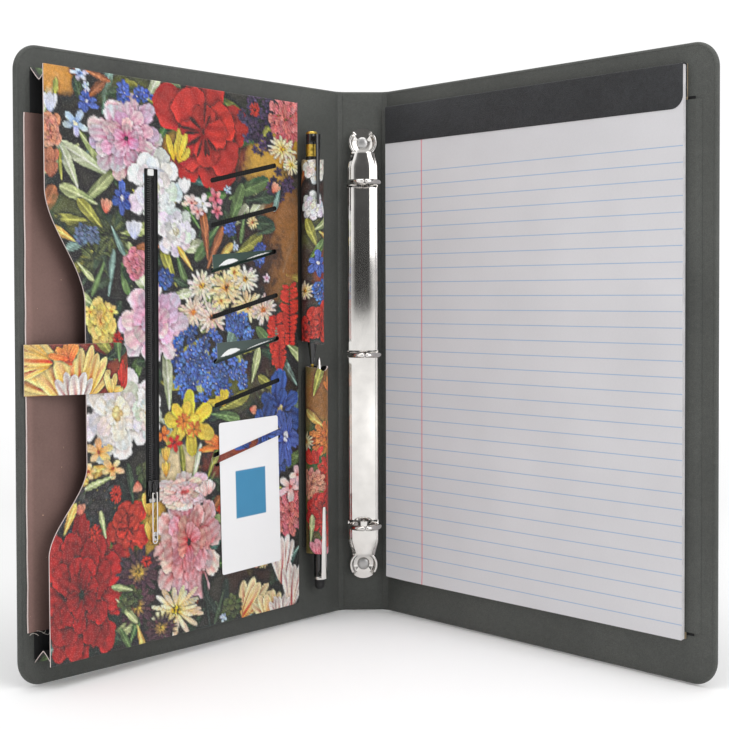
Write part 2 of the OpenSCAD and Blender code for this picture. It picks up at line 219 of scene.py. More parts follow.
def leatherette(name, base, dark, cell=1.05, rough=0.52, strength=0.35, spec=0.42, sheen=0.05):
    m, nt, b = new_mat(name)
    v = coords(nt)
    h, crease = leather_height(nt, v, cell)
    big = noise(nt, v, 0.018, 3.0, 0.5)
    mid = noise(nt, v, 0.35, 4.0, 0.6)
    f = math_(nt, "ADD", math_(nt, "MULTIPLY", big, 0.6), math_(nt, "MULTIPLY", mid, 0.4))
    c = ramp(nt, f, [(0.3, rgba(dark)), (0.7, rgba(base))])
    # painted shade: the colour is darkened in the creases of the grain
    cf = math_(nt, "MULTIPLY", crease, 4.6)
    c2 = mixc(nt, math_(nt, "SUBTRACT", 0.55, math_(nt, "MULTIPLY", cf, 0.55)), c, rgba(tuple(q * 0.62 for q in dark)))
    nt.links.new(c2, b.inputs["Base Color"])
    r = math_(nt, "ADD", math_(nt, "MULTIPLY", mid, 0.16), rough - 0.08)
    nt.links.new(r, b.inputs["Roughness"])
    b.inputs["Specular IOR Level"].default_value = spec
    b.inputs["Sheen Weight"].default_value = sheen
    n1 = bump(nt, h, strength, 0.10)
    n2 = bump(nt, noise(nt, v, 0.03, 2.0, 0.5), 0.12, 1.2, n1)
    nt.links.new(n2, b.inputs["Normal"])
    return m


M_LINING = leatherette("lining_leatherette", (90, 92, 88), (68, 70, 67), 1.5, 0.56, 0.32, 0.38, 0.08)
M_SKIN = leatherette("skin_leatherette", (86, 87, 85), (48, 49, 48), 0.85, 0.46, 0.8, 0.42, 0.06)
M_RIM = leatherette("rim_leatherette", (66, 68, 65), (52, 54, 52), 1.5, 0.55, 0.3, 0.4, 0.06)


def floral_mat(name, cell=0.95, strength=0.55, rough=0.4):
    """Printed leatherette: the print is a colour attribute, the grain comes from nodes."""
    m, nt, b = new_mat(name)
    v = coords(nt)
    a = N(nt, "ShaderNodeAttribute", attribute_name="print")
    h, crease = leather_height(nt, v, cell)
    cf = math_(nt, "MULTIPLY", crease, 4.6)
    shade = math_(nt, "SUBTRACT", 0.28, math_(nt, "MULTIPLY", cf, 0.28))
    brush = noise(nt, v, 0.9, 5.0, 0.65, 0.6)
    c1 = mixc(nt, 0.30, a.outputs["Color"], ramp(nt, brush, [(0.32, (0.42, 0.42, 0.42)), (0.68, (0.62, 0.62, 0.62))]), "OVERLAY")
    c2 = mixc(nt, shade, c1, (0.01, 0.01, 0.012, 1.0))
    # painted highlight: the tops of the pebbles are lightened in the colour, standing in for glints on the grain
    glint_tops = math_(nt, "MULTIPLY", math_(nt, "MINIMUM", math_(nt, "MAXIMUM", math_(nt, "SUBTRACT", cf, 0.62), 0.0), 0.4), 0.42)
    c2 = mixc(nt, math_(nt, "MULTIPLY", glint_tops, noise(nt, v, 0.35, 3.0)), c2, (0.62, 0.60, 0.58, 1.0))
    nt.links.new(c2, b.inputs["Base Color"])
    r = math_(nt, "ADD", math_(nt, "MULTIPLY", noise(nt, v, 0.5, 3.0), 0.18), rough - 0.09)
    nt.links.new(r, b.inputs["Roughness"])
    b.inputs["Specular IOR Level"].default_value = 0.45
    b.inputs["Coat Weight"].default_value = 0.08
    b.inputs["Coat Roughness"].default_value = 0.3
    n1 = bump(nt, h, strength, 0.12)
    nt.links.new(n1, b.inputs["Normal"])
    return m


M_FLORAL = floral_mat("floral_leatherette")


def fibre_mat(name, light, dark, scale=1.2, rough=0.85, strength=0.4, spec=0.15, stretch=(1, 1, 1)):
    """Paper, card, cut edges and other fibrous faces."""
    m, nt, b = new_mat(name)
    v = coords(nt)
    mp = N(nt, "ShaderNodeMapping")
    mp.inputs["Scale"].default_value = stretch
    nt.links.new(v, mp.inputs["Vector"])
    f = noise(nt, mp.outputs[0], scale, 6.0, 0.7)
    g = noise(nt, v, scale * 0.05, 3.0, 0.5)
    k = math_(nt, "ADD", math_(nt, "MULTIPLY", f, 0.6), math_(nt, "MULTIPLY", g, 0.4))
    nt.links.new(ramp(nt, k, [(0.36, rgba(dark)), (0.64, rgba(light))]), b.inputs["Base Color"])
    nt.links.new(math_(nt, "ADD", math_(nt, "MULTIPLY", f, 0.12), rough - 0.06), b.inputs["Roughness"])
    b.inputs["Specular IOR Level"].default_value = spec
    nt.links.new(bump(nt, f, strength, 0.05), b.inputs["Normal"])
    return m


M_RAW = fibre_mat("raw_cut_edge", (226, 214, 210), (196, 178, 174), 2.2, 0.8, 0.5)
M_BOARD = fibre_mat("grey_board", (150, 142, 130), (118, 110, 99), 1.6, 0.9, 0.5)
M_BACKING = fibre_mat("pad_backing_board", (176, 160, 132), (148, 130, 104), 1.4, 0.88, 0.45)
M_SHEETS = fibre_mat("paper_edges", (236, 235, 236), (204, 202, 204), 2.6, 0.8, 0.5, stretch=(1, 1, 1))
M_CARD = fibre_mat("card_stock", (180, 180, 182), (170, 170, 173), 1.8, 0.5, 0.1, 0.35)
M_THREAD = fibre_mat("loose_thread", (222, 214, 206), (184, 174, 166), 4.0, 0.9, 0.5)


def metal(name, col, rough=0.08, brush=0.0, scratch=0.15, stretch=(1, 1, 0.05)):
    m, nt, b = new_mat(name)
    v = coords(nt)
    mp = N(nt, "ShaderNodeMapping")
    mp.inputs["Scale"].default_value = stretch
    nt.links.new(v, mp.inputs["Vector"])
    f = noise(nt, mp.outputs[0], 2.4, 5.0, 0.7)
    g = noise(nt, v, 0.12, 3.0, 0.5)
    c = ramp(nt, g, [(0.3, rgba(tuple(q * 0.94 for q in col))), (0.7, rgba(col))])
    nt.links.new(c, b.inputs["Base Color"])
    b.inputs["Metallic"].default_value = 1.0
    nt.links.new(math_(nt, "ADD", math_(nt, "MULTIPLY", f, 0.10 + brush), rough), b.inputs["Roughness"])
    nt.links.new(bump(nt, f, scratch, 0.01), b.inputs["Normal"])
    return m


M_CHROME = metal("polished_chrome", (222, 219, 215), 0.05, -0.06, 0.002)
M_STEEL = metal("satin_steel", (188, 187, 186), 0.24, 0.12, 0.25)
M_GOLD = metal("polished_gold_trim", (214, 182, 84), 0.24, 0.06, 0.05)


def plastic(name, col, rough=0.2, coat=0.3, speck=0.15):
    m, nt, b = new_mat(name)
    v = coords(nt)
    f = noise(nt, v, 1.5, 5.0, 0.65)
    g = noise(nt, v, 0.08, 2.0)
    c = ramp(nt, g, [(0.3, rgba(tuple(q * 0.86 for q in col))), (0.7, rgba(col))])
    nt.links.new(c, b.inputs["Base Color"])
    nt.links.new(math_(nt, "ADD", math_(nt, "MULTIPLY", f, 0.14), rough - 0.05), b.inputs["Roughness"])
    b.inputs["Coat Weight"].default_value = coat
    b.inputs["Coat Roughness"].default_value = 0.08
    nt.links.new(bump(nt, f, speck, 0.012), b.inputs["Normal"])
    return m


M_PENBLACK = plastic("pen_lacquer_black", (22, 22, 24), 0.14, 0.6, 0.05)
M_CLIPBLACK = plastic("clip_lacquer_black", (28, 28, 30), 0.22, 0.4, 0.05)
M_RUBBER = plastic("stylus_rubber", (26, 26, 27), 0.62, 0.0, 0.4)
M_WHITEPL = plastic("zip_stop_white", (232, 232, 230), 0.25, 0.3, 0.1)
M_COIL = plastic("zip_coil_black", (20, 20, 21), 0.3, 0.25, 0.2)
M_SLIDER = plastic("slider_enamel_black", (26, 26, 27), 0.2, 0.5, 0.1)


def ribbed(name, col, light, pitch=1.1, axis="X", rough=0.75):
    """Ribbed or woven black cloth."""
    m, nt, b = new_mat(name)
    at = N(nt, "ShaderNodeAttribute", attribute_name="flat")
    sep = N(nt, "ShaderNodeSeparateXYZ")
    nt.links.new(at.outputs["Vector"], sep.inputs[0])
    a1 = math_(nt, "SINE", math_(nt, "MULTIPLY", sep.outputs["X"], 2 * math.pi / pitch))
    a2 = math_(nt, "SINE", math_(nt, "MULTIPLY", sep.outputs["Y"], 2 * math.pi / (pitch * 0.55)))
    w = math_(nt, "ADD", math_(nt, "MULTIPLY", a1, 0.35), math_(nt, "MULTIPLY", a2, 0.18))
    v = coords(nt)
    f = noise(nt, v, 2.0, 5.0, 0.7)
    k = math_(nt, "ADD", math_(nt, "ADD", w, 0.25), math_(nt, "MULTIPLY", f, 0.5))
    nt.links.new(ramp(nt, k, [(0.2, rgba(col)), (0.95, rgba(light))]), b.inputs["Base Color"])
    b.inputs["Roughness"].default_value = rough
    b.inputs["Sheen Weight"].default_value = 0.15
    b.inputs["Specular IOR Level"].default_value = 0.25
    nt.links.new(bump(nt, k, 0.6, 0.12), b.inputs["Normal"])
    return m


M_TAPE = ribbed("woven_zip_tape", (14, 14, 15), (40, 40, 42), 0.9)
M_RIBBED = ribbed("ribbed_black_lining", (12, 12, 12), (44, 44, 43), 1.5)
# black cloth, also used for the plates of painted shade at the sleeve ends
M_BLACKCLOTH_AND_SHADE = ribbed("black_lining_and_painted_shade", (15, 15, 16), (34, 34, 35), 0.8)


def insert_mat():
    """Brown document folder: matte, with scuffs and flecks, a painted lit strip along its rolled outer edge and painted
    shade towards the pocket edge.
    """
    m, nt, b = new_mat("brown_folder")
    v = coords(nt)
    at = N(nt, "ShaderNodeAttribute", attribute_name="flat")
    sep = N(nt, "ShaderNodeSeparateXYZ")
    nt.links.new(at.outputs["Vector"], sep.inputs[0])
    f = noise(nt, v, 0.9, 6.0, 0.7)
    g = noise(nt, v, 0.03, 3.0, 0.55)
    k = math_(nt, "ADD", math_(nt, "MULTIPLY", f, 0.45), math_(nt, "MULTIPLY", g, 0.55))
    base = ramp(nt, k, [(0.3, rgba((116, 92, 86))), (0.7, rgba((144, 115, 108)))])
    # painted shade: darker towards and under the pocket edge, with a lighter painted lit strip along the folder's outer
    # edge
    sh = ramp(nt, math_(nt, "DIVIDE", math_(nt, "SUBTRACT", 236.0, sep.outputs["X"]), 42.0), [(0.0, (1, 1, 1)), (0.12, (1, 0.97, 0.97)), (0.17, (0.78, 0.77, 0.76)), (0.5, (0.72, 0.70, 0.70)), (1.0, (0.36, 0.34, 0.34))])
    c = mixc(nt, 1.0, base, sh, "MULTIPLY")
    fl = voronoi(nt, v, 0.11, "F1")
    spot = math_(nt, "LESS_THAN", fl, 0.055)
    spot2 = math_(nt, "MULTIPLY", spot, math_(nt, "GREATER_THAN", noise(nt, v, 1.4, 2.0), 0.5))
    c = mixc(nt, math_(nt, "MULTIPLY", spot2, 0.6), c, rgba((206, 168, 140)))
    nt.links.new(c, b.inputs["Base Color"])
    nt.links.new(math_(nt, "ADD", math_(nt, "MULTIPLY", f, 0.2), 0.55), b.inputs["Roughness"])
    b.inputs["Specular IOR Level"].default_value = 0.3
    nt.links.new(bump(nt, f, 0.35, 0.08), b.inputs["Normal"])
    return m


M_INSERT = insert_mat()


def ruled_mat():
    """Writing paper: blue rules and a double red margin line, printed by nodes."""
    m, nt, b = new_mat("ruled_paper")
    v = coords(nt)
    at = N(nt, "ShaderNodeAttribute", attribute_name="flat")
    sep = N(nt, "ShaderNodeSeparateXYZ")
    nt.links.new(at.outputs["Vector"], sep.inputs[0])
    s, z = sep.outputs["X"], sep.outputs["Y"]
    f = noise(nt, v, 1.1, 6.0, 0.7)
    g = noise(nt, v, 0.02, 2.0, 0.5)
    base = ramp(nt, math_(nt, "ADD", math_(nt, "MULTIPLY", f, 0.4), math_(nt, "MULTIPLY", g, 0.6)), [(0.3, rgba((206, 205, 208))), (0.7, rgba((217, 216, 219)))])
    pitch = 8.55
    ph = math_(nt, "FRACT", math_(nt, "DIVIDE", math_(nt, "SUBTRACT", z, 30.9 - pitch / 2), pitch))
    d = math_(nt, "MULTIPLY", math_(nt, "ABSOLUTE", math_(nt, "SUBTRACT", ph, 0.5)), pitch)
    ink = noise(nt, v, 3.0, 3.0, 0.6)
    line = math_(nt, "SUBTRACT", 1.0, math_(nt, "SMOOTH_MIN", math_(nt, "DIVIDE", d, 0.34), 1.0, 0.3))
    inside = math_(nt, "MULTIPLY", math_(nt, "GREATER_THAN", z, 27.5), math_(nt, "LESS_THAN", z, 281.0))
    la = math_(nt, "MULTIPLY", math_(nt, "MULTIPLY", line, inside), math_(nt, "ADD", math_(nt, "MULTIPLY", ink, 0.5), 0.55))
    la = math_(nt, "MAXIMUM", la, 0.0)
    c = mixc(nt, la, base, rgba((92, 152, 206)))
    ma = math_(nt, "MAXIMUM", math_(nt, "SUBTRACT", 1.0, math_(nt, "DIVIDE", math_(nt, "ABSOLUTE", math_(nt, "SUBTRACT", s, 36.1)), 0.42)), 0.0)
    mb = math_(nt, "MAXIMUM", math_(nt, "SUBTRACT", 1.0, math_(nt, "DIVIDE", math_(nt, "ABSOLUTE", math_(nt, "SUBTRACT", s, 36.5)), 0.42)), 0.0)
    mm_ = math_(nt, "MULTIPLY", math_(nt, "ADD", ma, mb), math_(nt, "ADD", math_(nt, "MULTIPLY", ink, 0.4), 0.6))
    c = mixc(nt, math_(nt, "MINIMUM", mm_, 1.0), c, rgba((226, 120, 134)))
    nt.links.new(c, b.inputs["Base Color"])
    nt.links.new(math_(nt, "ADD", math_(nt, "MULTIPLY", f, 0.1), 0.62), b.inputs["Roughness"])
    b.inputs["Specular IOR Level"].default_value = 0.25
    nt.links.new(bump(nt, f, 0.18, 0.03, bump(nt, noise(nt, v, 0.02, 2.0), 0.10, 2.0)), b.inputs["Normal"])
    return m


M_RULED = ruled_mat()
M_BINDING = leatherette("cloth_binding", (60, 62, 66), (18, 19, 22), 1.25, 0.5, 1.0, 0.4, 0.12)


# ---------------------------------------------------------------- painted print
# Original flowers in the manner of an old still life, painted petal by petal
# into an array in memory and carried to the meshes as a colour attribute.
PAL = {
    "pinkwhite": ((214, 118, 158), (244, 226, 236), (176, 52, 106)),
    "red": ((150, 20, 18), (214, 52, 42), (70, 8, 12)),
    "bloodred": ((112, 10, 16), (198, 36, 34), (60, 6, 12)),
    "scarlet": ((170, 30, 20), (226, 66, 46), (110, 14, 12)),
    "coral": ((196, 82, 60), (234, 166, 138), (140, 44, 34)),
    "pinkred": ((196, 44, 56), (238, 142, 142), (146, 22, 36)),
    "pinkredwhite": ((206, 44, 56), (246, 214, 212), (168, 22, 36)),
    "rosered": ((186, 48, 76), (236, 158, 170), (132, 24, 48)),
    "blush": ((226, 156, 152), (248, 228, 222), (206, 104, 104)),
    "pinkcream": ((228, 156, 190), (248, 228, 236), (196, 60, 112)),
    "creampink": ((232, 178, 148), (250, 234, 218), (206, 128, 70)),
    "creamwhite": ((236, 208, 160), (250, 242, 226), (214, 160, 70)),
    "creamyellow": ((232, 184, 90), (250, 234, 190), (212, 140, 40)),
    "creamorange": ((222, 148, 62), (248, 220, 168), (190, 104, 34)),
    "yellowwhite": ((232, 190, 84), (250, 240, 208), (222, 168, 32)),
    "yellow": ((216, 168, 24), (246, 222, 84), (206, 120, 30)),
    "lemon": ((222, 174, 44), (250, 228, 130), (206, 132, 34)),
    "gold": ((196, 138, 40), (240, 200, 98), (156, 92, 24)),
    "orange": ((206, 84, 26), (240, 150, 70), (160, 50, 18)),
    "ivory": ((238, 226, 212), (252, 249, 246), (226, 196, 140)),
    "white": ((222, 222, 230), (250, 250, 252), (222, 216, 190)),
    "lilacwhite": ((168, 176, 210), (236, 238, 246), (110, 120, 170)),
    "bluewhite": ((110, 140, 196), (236, 240, 246), (50, 70, 140)),
    "paleblue": ((118, 146, 190), (206, 218, 234), (236, 232, 206)),
    "cornflower": ((34, 52, 128), (84, 110, 190), (220, 222, 236)),
    "blue": ((24, 48, 122), (92, 128, 204), (220, 228, 242)),
    "deepblue": ((18, 34, 92), (58, 92, 168), (210, 196, 140)),
    "plum": ((34, 26, 44), (82, 62, 94), (20, 16, 28)),
    "purplebrown": ((34, 18, 26), (96, 62, 72), (190, 154, 64)),
    "nearblack": ((20, 20, 22), (66, 64, 62), (132, 116, 76)),
    "slate": ((50, 64, 90), (104, 122, 152), (30, 40, 60)),
    "moss": ((28, 36, 22), (84, 96, 56), (120, 128, 76)),
    "russet": ((120, 60, 40), (190, 120, 88), (80, 36, 26)),
    "tulipyellow": ((216, 168, 70), (248, 232, 184), (196, 76, 40)),
    "tulipwhite": ((232, 200, 172), (250, 244, 238), (176, 62, 74)),
    "tulipstripe": ((234, 170, 40), (250, 226, 150), (206, 64, 26)),
    "paleleaf": ((150, 164, 118), (206, 212, 178), (112, 128, 84)),
    "stripeleaf": ((98, 118, 66), (178, 186, 132), (70, 88, 48)),
    "oliveleaf": ((92, 96, 38), (158, 156, 74), (64, 66, 28)),
    "midleaf": ((44, 70, 40), (104, 130, 78), (30, 48, 28)),
    "darkleaf": ((22, 34, 26), (60, 78, 56), (16, 24, 18)),
    "blackleaf": ((14, 22, 18), (40, 54, 46), (8, 12, 10)),
    "bluegreen": ((56, 84, 78), (128, 156, 146), (34, 54, 50)),
    "rustleaf": ((98, 52, 30), (160, 98, 60), (64, 32, 20)),
    "amberleaf": ((168, 118, 40), (226, 188, 100), (110, 74, 26)),
}
WASH = {"ochre": (150, 98, 44), "umber": (58, 36, 26), "amber": (214, 150, 60), "olive": (92, 98, 54),
        "gold": (206, 160, 62), "rust": (142, 62, 36), "cream": (226, 204, 160)}


class Canvas:
    """A patch of print: rows run up z, columns along the other direction, in millimetres."""

    def __init__(self, u0, u1, z0, z1, res, ground, seed):
        self.u0, self.z0, self.res = u0, z0, res
        self.w, self.h = int((u1 - u0) / res) + 2, int((z1 - z0) / res) + 2
        self.r = np.random.default_rng(seed)
        self.img = np.empty((self.h, self.w, 3))
        self.grain = self.field(5.0) * 0.6 + self.field(1.6) * 0.4
        g = self.field(24.0)[..., None]
        self.img[:] = lin(ground[0]) * (1 - g) + lin(ground[1]) * g
        self.img *= (0.75 + 0.5 * self.grain)[..., None]

    def field(self, size):
        """Smooth noise between 0 and 1 with blobs of about size mm."""
        nh, nw = max(3, int(self.h * self.res / size) + 3), max(3, int(self.w * self.res / size) + 3)
        a = self.r.random((nh, nw))
        y, x = np.linspace(0, nh - 1.001, self.h), np.linspace(0, nw - 1.001, self.w)
        yi, xi = y.astype(int), x.astype(int)
        fy, fx = y - yi, x - xi
        fy, fx = (fy * fy * (3 - 2 * fy))[:, None], (fx * fx * (3 - 2 * fx))[None, :]
        yi2, xi2 = np.minimum(yi + 1, nh - 1), np.minimum(xi + 1, nw - 1)
        top = a[yi][:, xi] * (1 - fx) + a[yi][:, xi2] * fx
        bot = a[yi2][:, xi] * (1 - fx) + a[yi2][:, xi2] * fx
        return top * (1 - fy) + bot * fy

    def patch(self, u, z, reach):
        x0, x1 = int((u - reach - self.u0) / self.res), int((u + reach - self.u0) / self.res) + 2
        y0, y1 = int((z - reach - self.z0) / self.res), int((z + reach - self.z0) / self.res) + 2
        x0, y0, x1, y1 = max(0, x0), max(0, y0), min(self.w, x1), min(self.h, y1)
        if x1 <= x0 or y1 <= y0:
            return None
        yy, xx = np.mgrid[y0:y1, x0:x1]
        return slice(y0, y1), slice(x0, x1), xx * self.res + self.u0, yy * self.res + self.z0

    def wash(self, u, z, ru, rz, col, k=0.9):
        p = self.patch(u, z, max(ru, rz) * 1.5)
        if p is None:
            return
        ys, xs, U, Z = p
        d = ((U - u) / ru) ** 2 + ((Z - z) / rz) ** 2 + (self.grain[ys, xs] - 0.5) * 1.2
        a = (np.clip(1.5 - d, 0, 1) * k)[..., None]
        c = lin(col) * (0.7 + 0.6 * self.grain[ys, xs])[..., None]
        self.img[ys, xs] = self.img[ys, xs] * (1 - a) + c * a

    def petal(self, u, z, ang, length, width, ca, cb, tip=0.45, ruffle=0.06, streak=0.22, shadow=0.5, sx=1.0,
              stripe=None, vein=None, light=0.22, curl=0.0):
        """One petal from its base outwards. ang in radians, 0 along u; sx squeezes the u direction."""
        reach = max(length, width) * max(sx, 1.0) * 1.25 + 2
        p = self.patch(u, z, reach)
        if p is None:
            return
        ys, xs, U, Z = p
        X, Y = (U - u) / sx, Z - z
        x = (X * math.cos(ang) + Y * math.sin(ang)) / length
        y = (-X * math.sin(ang) + Y * math.cos(ang)) / (width * 0.5)
        y = y + curl * x * x
        xc = np.clip(x, 0.0, 1.0)
        prof = np.power(xc, tip) * np.power(np.clip(1 - np.power(xc, 3.2), 0, 1), 0.55)
        ph = self.r.random() * 6.28
        ruf = 1 + ruffle * np.sin(7 * np.arctan2(y, x - 0.35) + ph) + ruffle * 0.7 * np.sin(15 * np.arctan2(y, x - 0.35) + 2 * ph)
        e = (prof * ruf - np.abs(y)) * width * 0.5
        past = np.where(x < 0, -x, x - 1) * length
        e = np.where((x < 0) | (x > 1.0), -np.hypot(past, y * width * 0.5), e)
        aa = self.res * 0.8
        a = np.clip(e / aa + 0.5, 0, 1)
        if not a.any():
            return
        if shadow > 0:
            shadow *= 1.25 - 0.75 * sum(cb) / 765.0
            s = np.clip(1 + e / (0.14 * width + 0.6), 0, 1) * shadow
            self.img[ys, xs] *= (1 - s * (1 - a))[..., None]
        t = np.clip(x, 0, 1)
        k = np.power(t, 0.8)
        g = np.sin(y * (9 + 3 * self.r.random()) + ph + 1.5 * np.sin(3 * x + ph)) * 0.5 + 0.5
        g2 = self.grain[ys, xs]
        k = np.clip(k + (g - 0.5) * streak + (g2 - 0.5) * 0.35, 0, 1)[..., None]
        c = lin(ca) * (1 - k) + lin(cb) * k
        if stripe is not None:
            sw = np.clip(np.cos(y * 4.2 + 0.8 * np.sin(4 * x + ph)) * 2.2 - 0.9, 0, 1) * np.clip(1.15 - t, 0, 1)
            sw = (sw * (0.6 + 0.6 * g2))[..., None]
            c = c * (1 - sw) + lin(stripe) * sw
        if vein is not None:
            rib = np.exp(-(y * width * 0.5 / 0.45) ** 2)
            side = np.clip(np.cos((x * 13 - np.abs(y) * 4.0)) * 3 - 2.1, 0, 1) * 0.55
            vv = np.clip(rib + side, 0, 1)[..., None] * 0.75
            c = c * (1 - vv) + lin(vein) * vv
            c = c * np.where(y > 0, 1.12, 0.8)[..., None]
        soft = 1.3 - sum(cb) / 765.0
        shade = 1 + soft * light * 1.5 * np.clip(y * 0.9, -1, 1) * (1 if math.cos(ang) < 0.3 else -1)
        rim = np.exp(-np.clip(e, 0, None) / (0.05 * width + 0.25))
        shade = shade * (1 + 0.20 * rim * t) * (0.9 + 0.25 * np.sin(3.0 * x + 0.3 * ph))
        c = c * shade[..., None]
        a = a[..., None]
        self.img[ys, xs] = self.img[ys, xs] * (1 - a) + np.clip(c, 0, 1) * a

    def dots(self, u, z, ru, rz, n, size, cols):
        for _ in range(n):
            q, w = self.r.random() * 6.28, math.sqrt(self.r.random())
            x, y = u + ru * w * math.cos(q), z + rz * w * math.sin(q)
            c = cols[int(self.r.integers(len(cols)))]
            p = self.patch(x, y, size * 1.6)
            if p is None:
                continue
            ys, xs, U, Z = p
            d = np.hypot(U - x, Z - y)
            a = np.clip((size * (0.7 + 0.5 * self.r.random()) - d) / self.res, 0, 1)[..., None]
            cc = lin(c) * np.clip(1.1 - 0.5 * d / size, 0.3, 1.2)[..., None]
            self.img[ys, xs] = self.img[ys, xs] * (1 - a) + cc * a

    def ring(self, u, z, r, n, length, width, ca, cb, sx, start=0.0, jit=0.25, squash=1.0, **kw):
        """n petals round a centre, each starting at distance r."""
        for i in self.r.permutation(n):
            q = start + 2 * math.pi * (i + jit * (self.r.random() - 0.5)) / n
            k = 0.86 + 0.28 * self.r.random()
            pale = sum(cb) / 765.0
            sh = 1.0 + (0.3 * self.r.random() - 0.16) * (1.35 - pale)
            self.petal(u + r * math.cos(q) * sx, z + r * math.sin(q), q + (self.r.random() - 0.5) * 0.35, length * k, width * (0.88 + 0.24 * self.r.random()),
                       tuple(c * sh for c in ca), tuple(min(255, c * (0.9 + 0.12 * self.r.random())) for c in cb), sx=sx, **kw)

    def flower(self, kind, u, z, ru, rz, rot, pal):
        if kind == "wash":
            return self.wash(u, z, ru, rz, WASH[pal])
        ca, cb, cc = PAL[pal]
        R, sx = float(rz), float(ru) / max(1.0, float(rz))
        q = math.radians(rot)
        r = self.r
        if kind == "leaf":
            L, wd = 2.0 * R, 1.15 * ru
            a = math.radians(90 - rot) + (r.random() - 0.5) * 0.2
            bx, bz = u - math.cos(a) * R, z - math.sin(a) * R
            self.petal(bx, bz, a, L, wd, ca, cb, tip=0.75, ruffle=0.03, streak=0.1, shadow=0.45, vein=tuple(min(255, c * 1.25 + 12) for c in cb), light=0.1, curl=(r.random() - 0.5) * 0.6)
        elif kind in ("peony", "bloom"):
            rings = ((0.42, 10, 0.60, 0.46), (0.30, 9, 0.58, 0.46), (0.20, 8, 0.50, 0.42), (0.12, 7, 0.40, 0.36), (0.06, 6, 0.28, 0.28))
            if kind == "bloom":
                rings = ((0.34, 8, 0.68, 0.62), (0.22, 7, 0.58, 0.56), (0.12, 6, 0.44, 0.46), (0.05, 5, 0.28, 0.32))
            for i, (r0, n, ln, wd) in enumerate(rings):
                f = i / (len(rings) - 1)
                ia = tuple(ca[j] * (1 - 0.5 * f) + cc[j] * 0.5 * f for j in range(3))
                ib = tuple(cb[j] * (1 - 0.3 * f) + ca[j] * 0.3 * f for j in range(3))
                self.ring(u, z, r0 * R, n, ln * R, wd * R * 1.25, ia, ib, sx, start=r.random() * 6, ruffle=0.10, streak=0.35, shadow=0.5)
            if kind == "bloom":
                self.dots(u, z, 0.12 * ru, 0.12 * R, 10, 0.07 * R + 0.4, [cc, tuple(min(255, c * 1.2) for c in cc)])
        elif kind == "carnation":
            for i in range(5):
                f = i / 4
                self.ring(u, z, (0.5 - 0.46 * f) * R, int(13 - 6 * f), (0.5 - 0.2 * f) * R, (0.42 - 0.14 * f) * R, ca if i % 2 else cc, cb, sx, start=r.random() * 6, ruffle=0.22, streak=0.5, shadow=0.4)
        elif kind == "poppy":
            for i, (r0, n, ln, wd) in enumerate(((0.10, 5, 0.92, 1.05), (0.06, 4, 0.72, 0.95), (0.02, 4, 0.5, 0.7))):
                self.ring(u, z, r0 * R, n, ln * R, wd * R, ca, cb, sx, start=q + i * 0.6, ruffle=0.07, streak=0.55, shadow=0.55)
            for _ in range(14):
                a = r.random() * 6.28
                self.petal(u + 0.08 * ru * math.cos(a), z + 0.1 * R * math.sin(a), a, (0.16 + 0.3 * r.random()) * R, 0.09 * R, cc, tuple(c * 0.7 for c in ca), tip=0.7, shadow=0.15, sx=sx)
        elif kind == "rose":
            for i in range(6):
                f = i / 5
                self.ring(u + (r.random() - 0.5) * 0.06 * ru, z, (0.34 - 0.34 * f) * R, 5 if i < 4 else 3, (0.66 - 0.42 * f) * R, (0.95 - 0.6 * f) * R, cc if i > 3 else ca, cb, sx, start=i * 0.9 + q, ruffle=0.04, streak=0.18, shadow=0.6)
        elif kind in ("daisy", "daisy2", "dahlia"):
            n = 15 if kind != "dahlia" else 17
            self.ring(u, z, 0.16 * R, n, 0.84 * R, 0.26 * R, ca, cb, sx, start=r.random() * 6, ruffle=0.02, streak=0.3, shadow=0.45, tip=0.6)
            self.ring(u, z, 0.12 * R, n - 3, 0.62 * R, 0.22 * R, ca, cb, sx, start=r.random() * 6, ruffle=0.02, streak=0.3, shadow=0.4, tip=0.6)
            if kind == "dahlia":
                self.ring(u, z, 0.06 * R, 10, 0.42 * R, 0.2 * R, cc, cb, sx, start=r.random() * 6, ruffle=0.02, streak=0.3, shadow=0.4, tip=0.6)
            self.dots(u, z, 0.17 * ru, 0.17 * R, 16, 0.05 * R + 0.35, [cc, tuple(min(255, c * 1.25) for c in cc), tuple(c * 0.6 for c in cc)])
        elif kind == "floret":
            self.ring(u, z, 0.05 * R, 5, 0.95 * R, 0.72 * R, ca, cb, sx, start=r.random() * 6, ruffle=0.05, streak=0.2, shadow=0.5)
            self.dots(u, z, 0.14 * ru, 0.14 * R, 5, 0.1 * R + 0.2, [cc])
        elif kind in ("cluster", "cluster2"):
            n = int(6 + ru * rz / 9)
            for _ in range(n):
                a, w = r.random() * 6.28, math.sqrt(r.random()) * 0.88
                x, y = u + ru * w * math.cos(a), z + rz * w * math.sin(a)
                s = (2.2 + 1.2 * r.random()) if kind == "cluster" else (3.6 + 1.6 * r.random())
                k = 0.7 + 0.5 * r.random()
                self.ring(x, y, 0.2, 5, s, s * 0.8, tuple(c * k for c in ca), tuple(min(255, c * k * 1.1) for c in cb), 1.2, start=a, shadow=0.45, streak=0.2)
                self.dots(x, y, 0.3, 0.3, 2, 0.42, [cc])
        elif kind == "iris":
            for i, (a, ln, wd) in enumerate(((90, 0.95, 0.75), (210, 0.9, 0.7), (330, 0.9, 0.7), (150, 0.7, 0.5), (30, 0.7, 0.5), (270, 0.95, 0.6), (100, 0.5, 0.4), (240, 0.5, 0.4))):
                self.petal(u, z, math.radians(a + rot) + (r.random() - 0.5) * 0.4, ln * R, wd * R, ca, cb, ruffle=0.12, streak=0.6, shadow=0.5, sx=sx, curl=(r.random() - 0.5) * 0.8)
            self.dots(u, z, 0.1 * ru, 0.12 * R, 6, 0.06 * R + 0.3, [cc])
        elif kind == "daffodil":
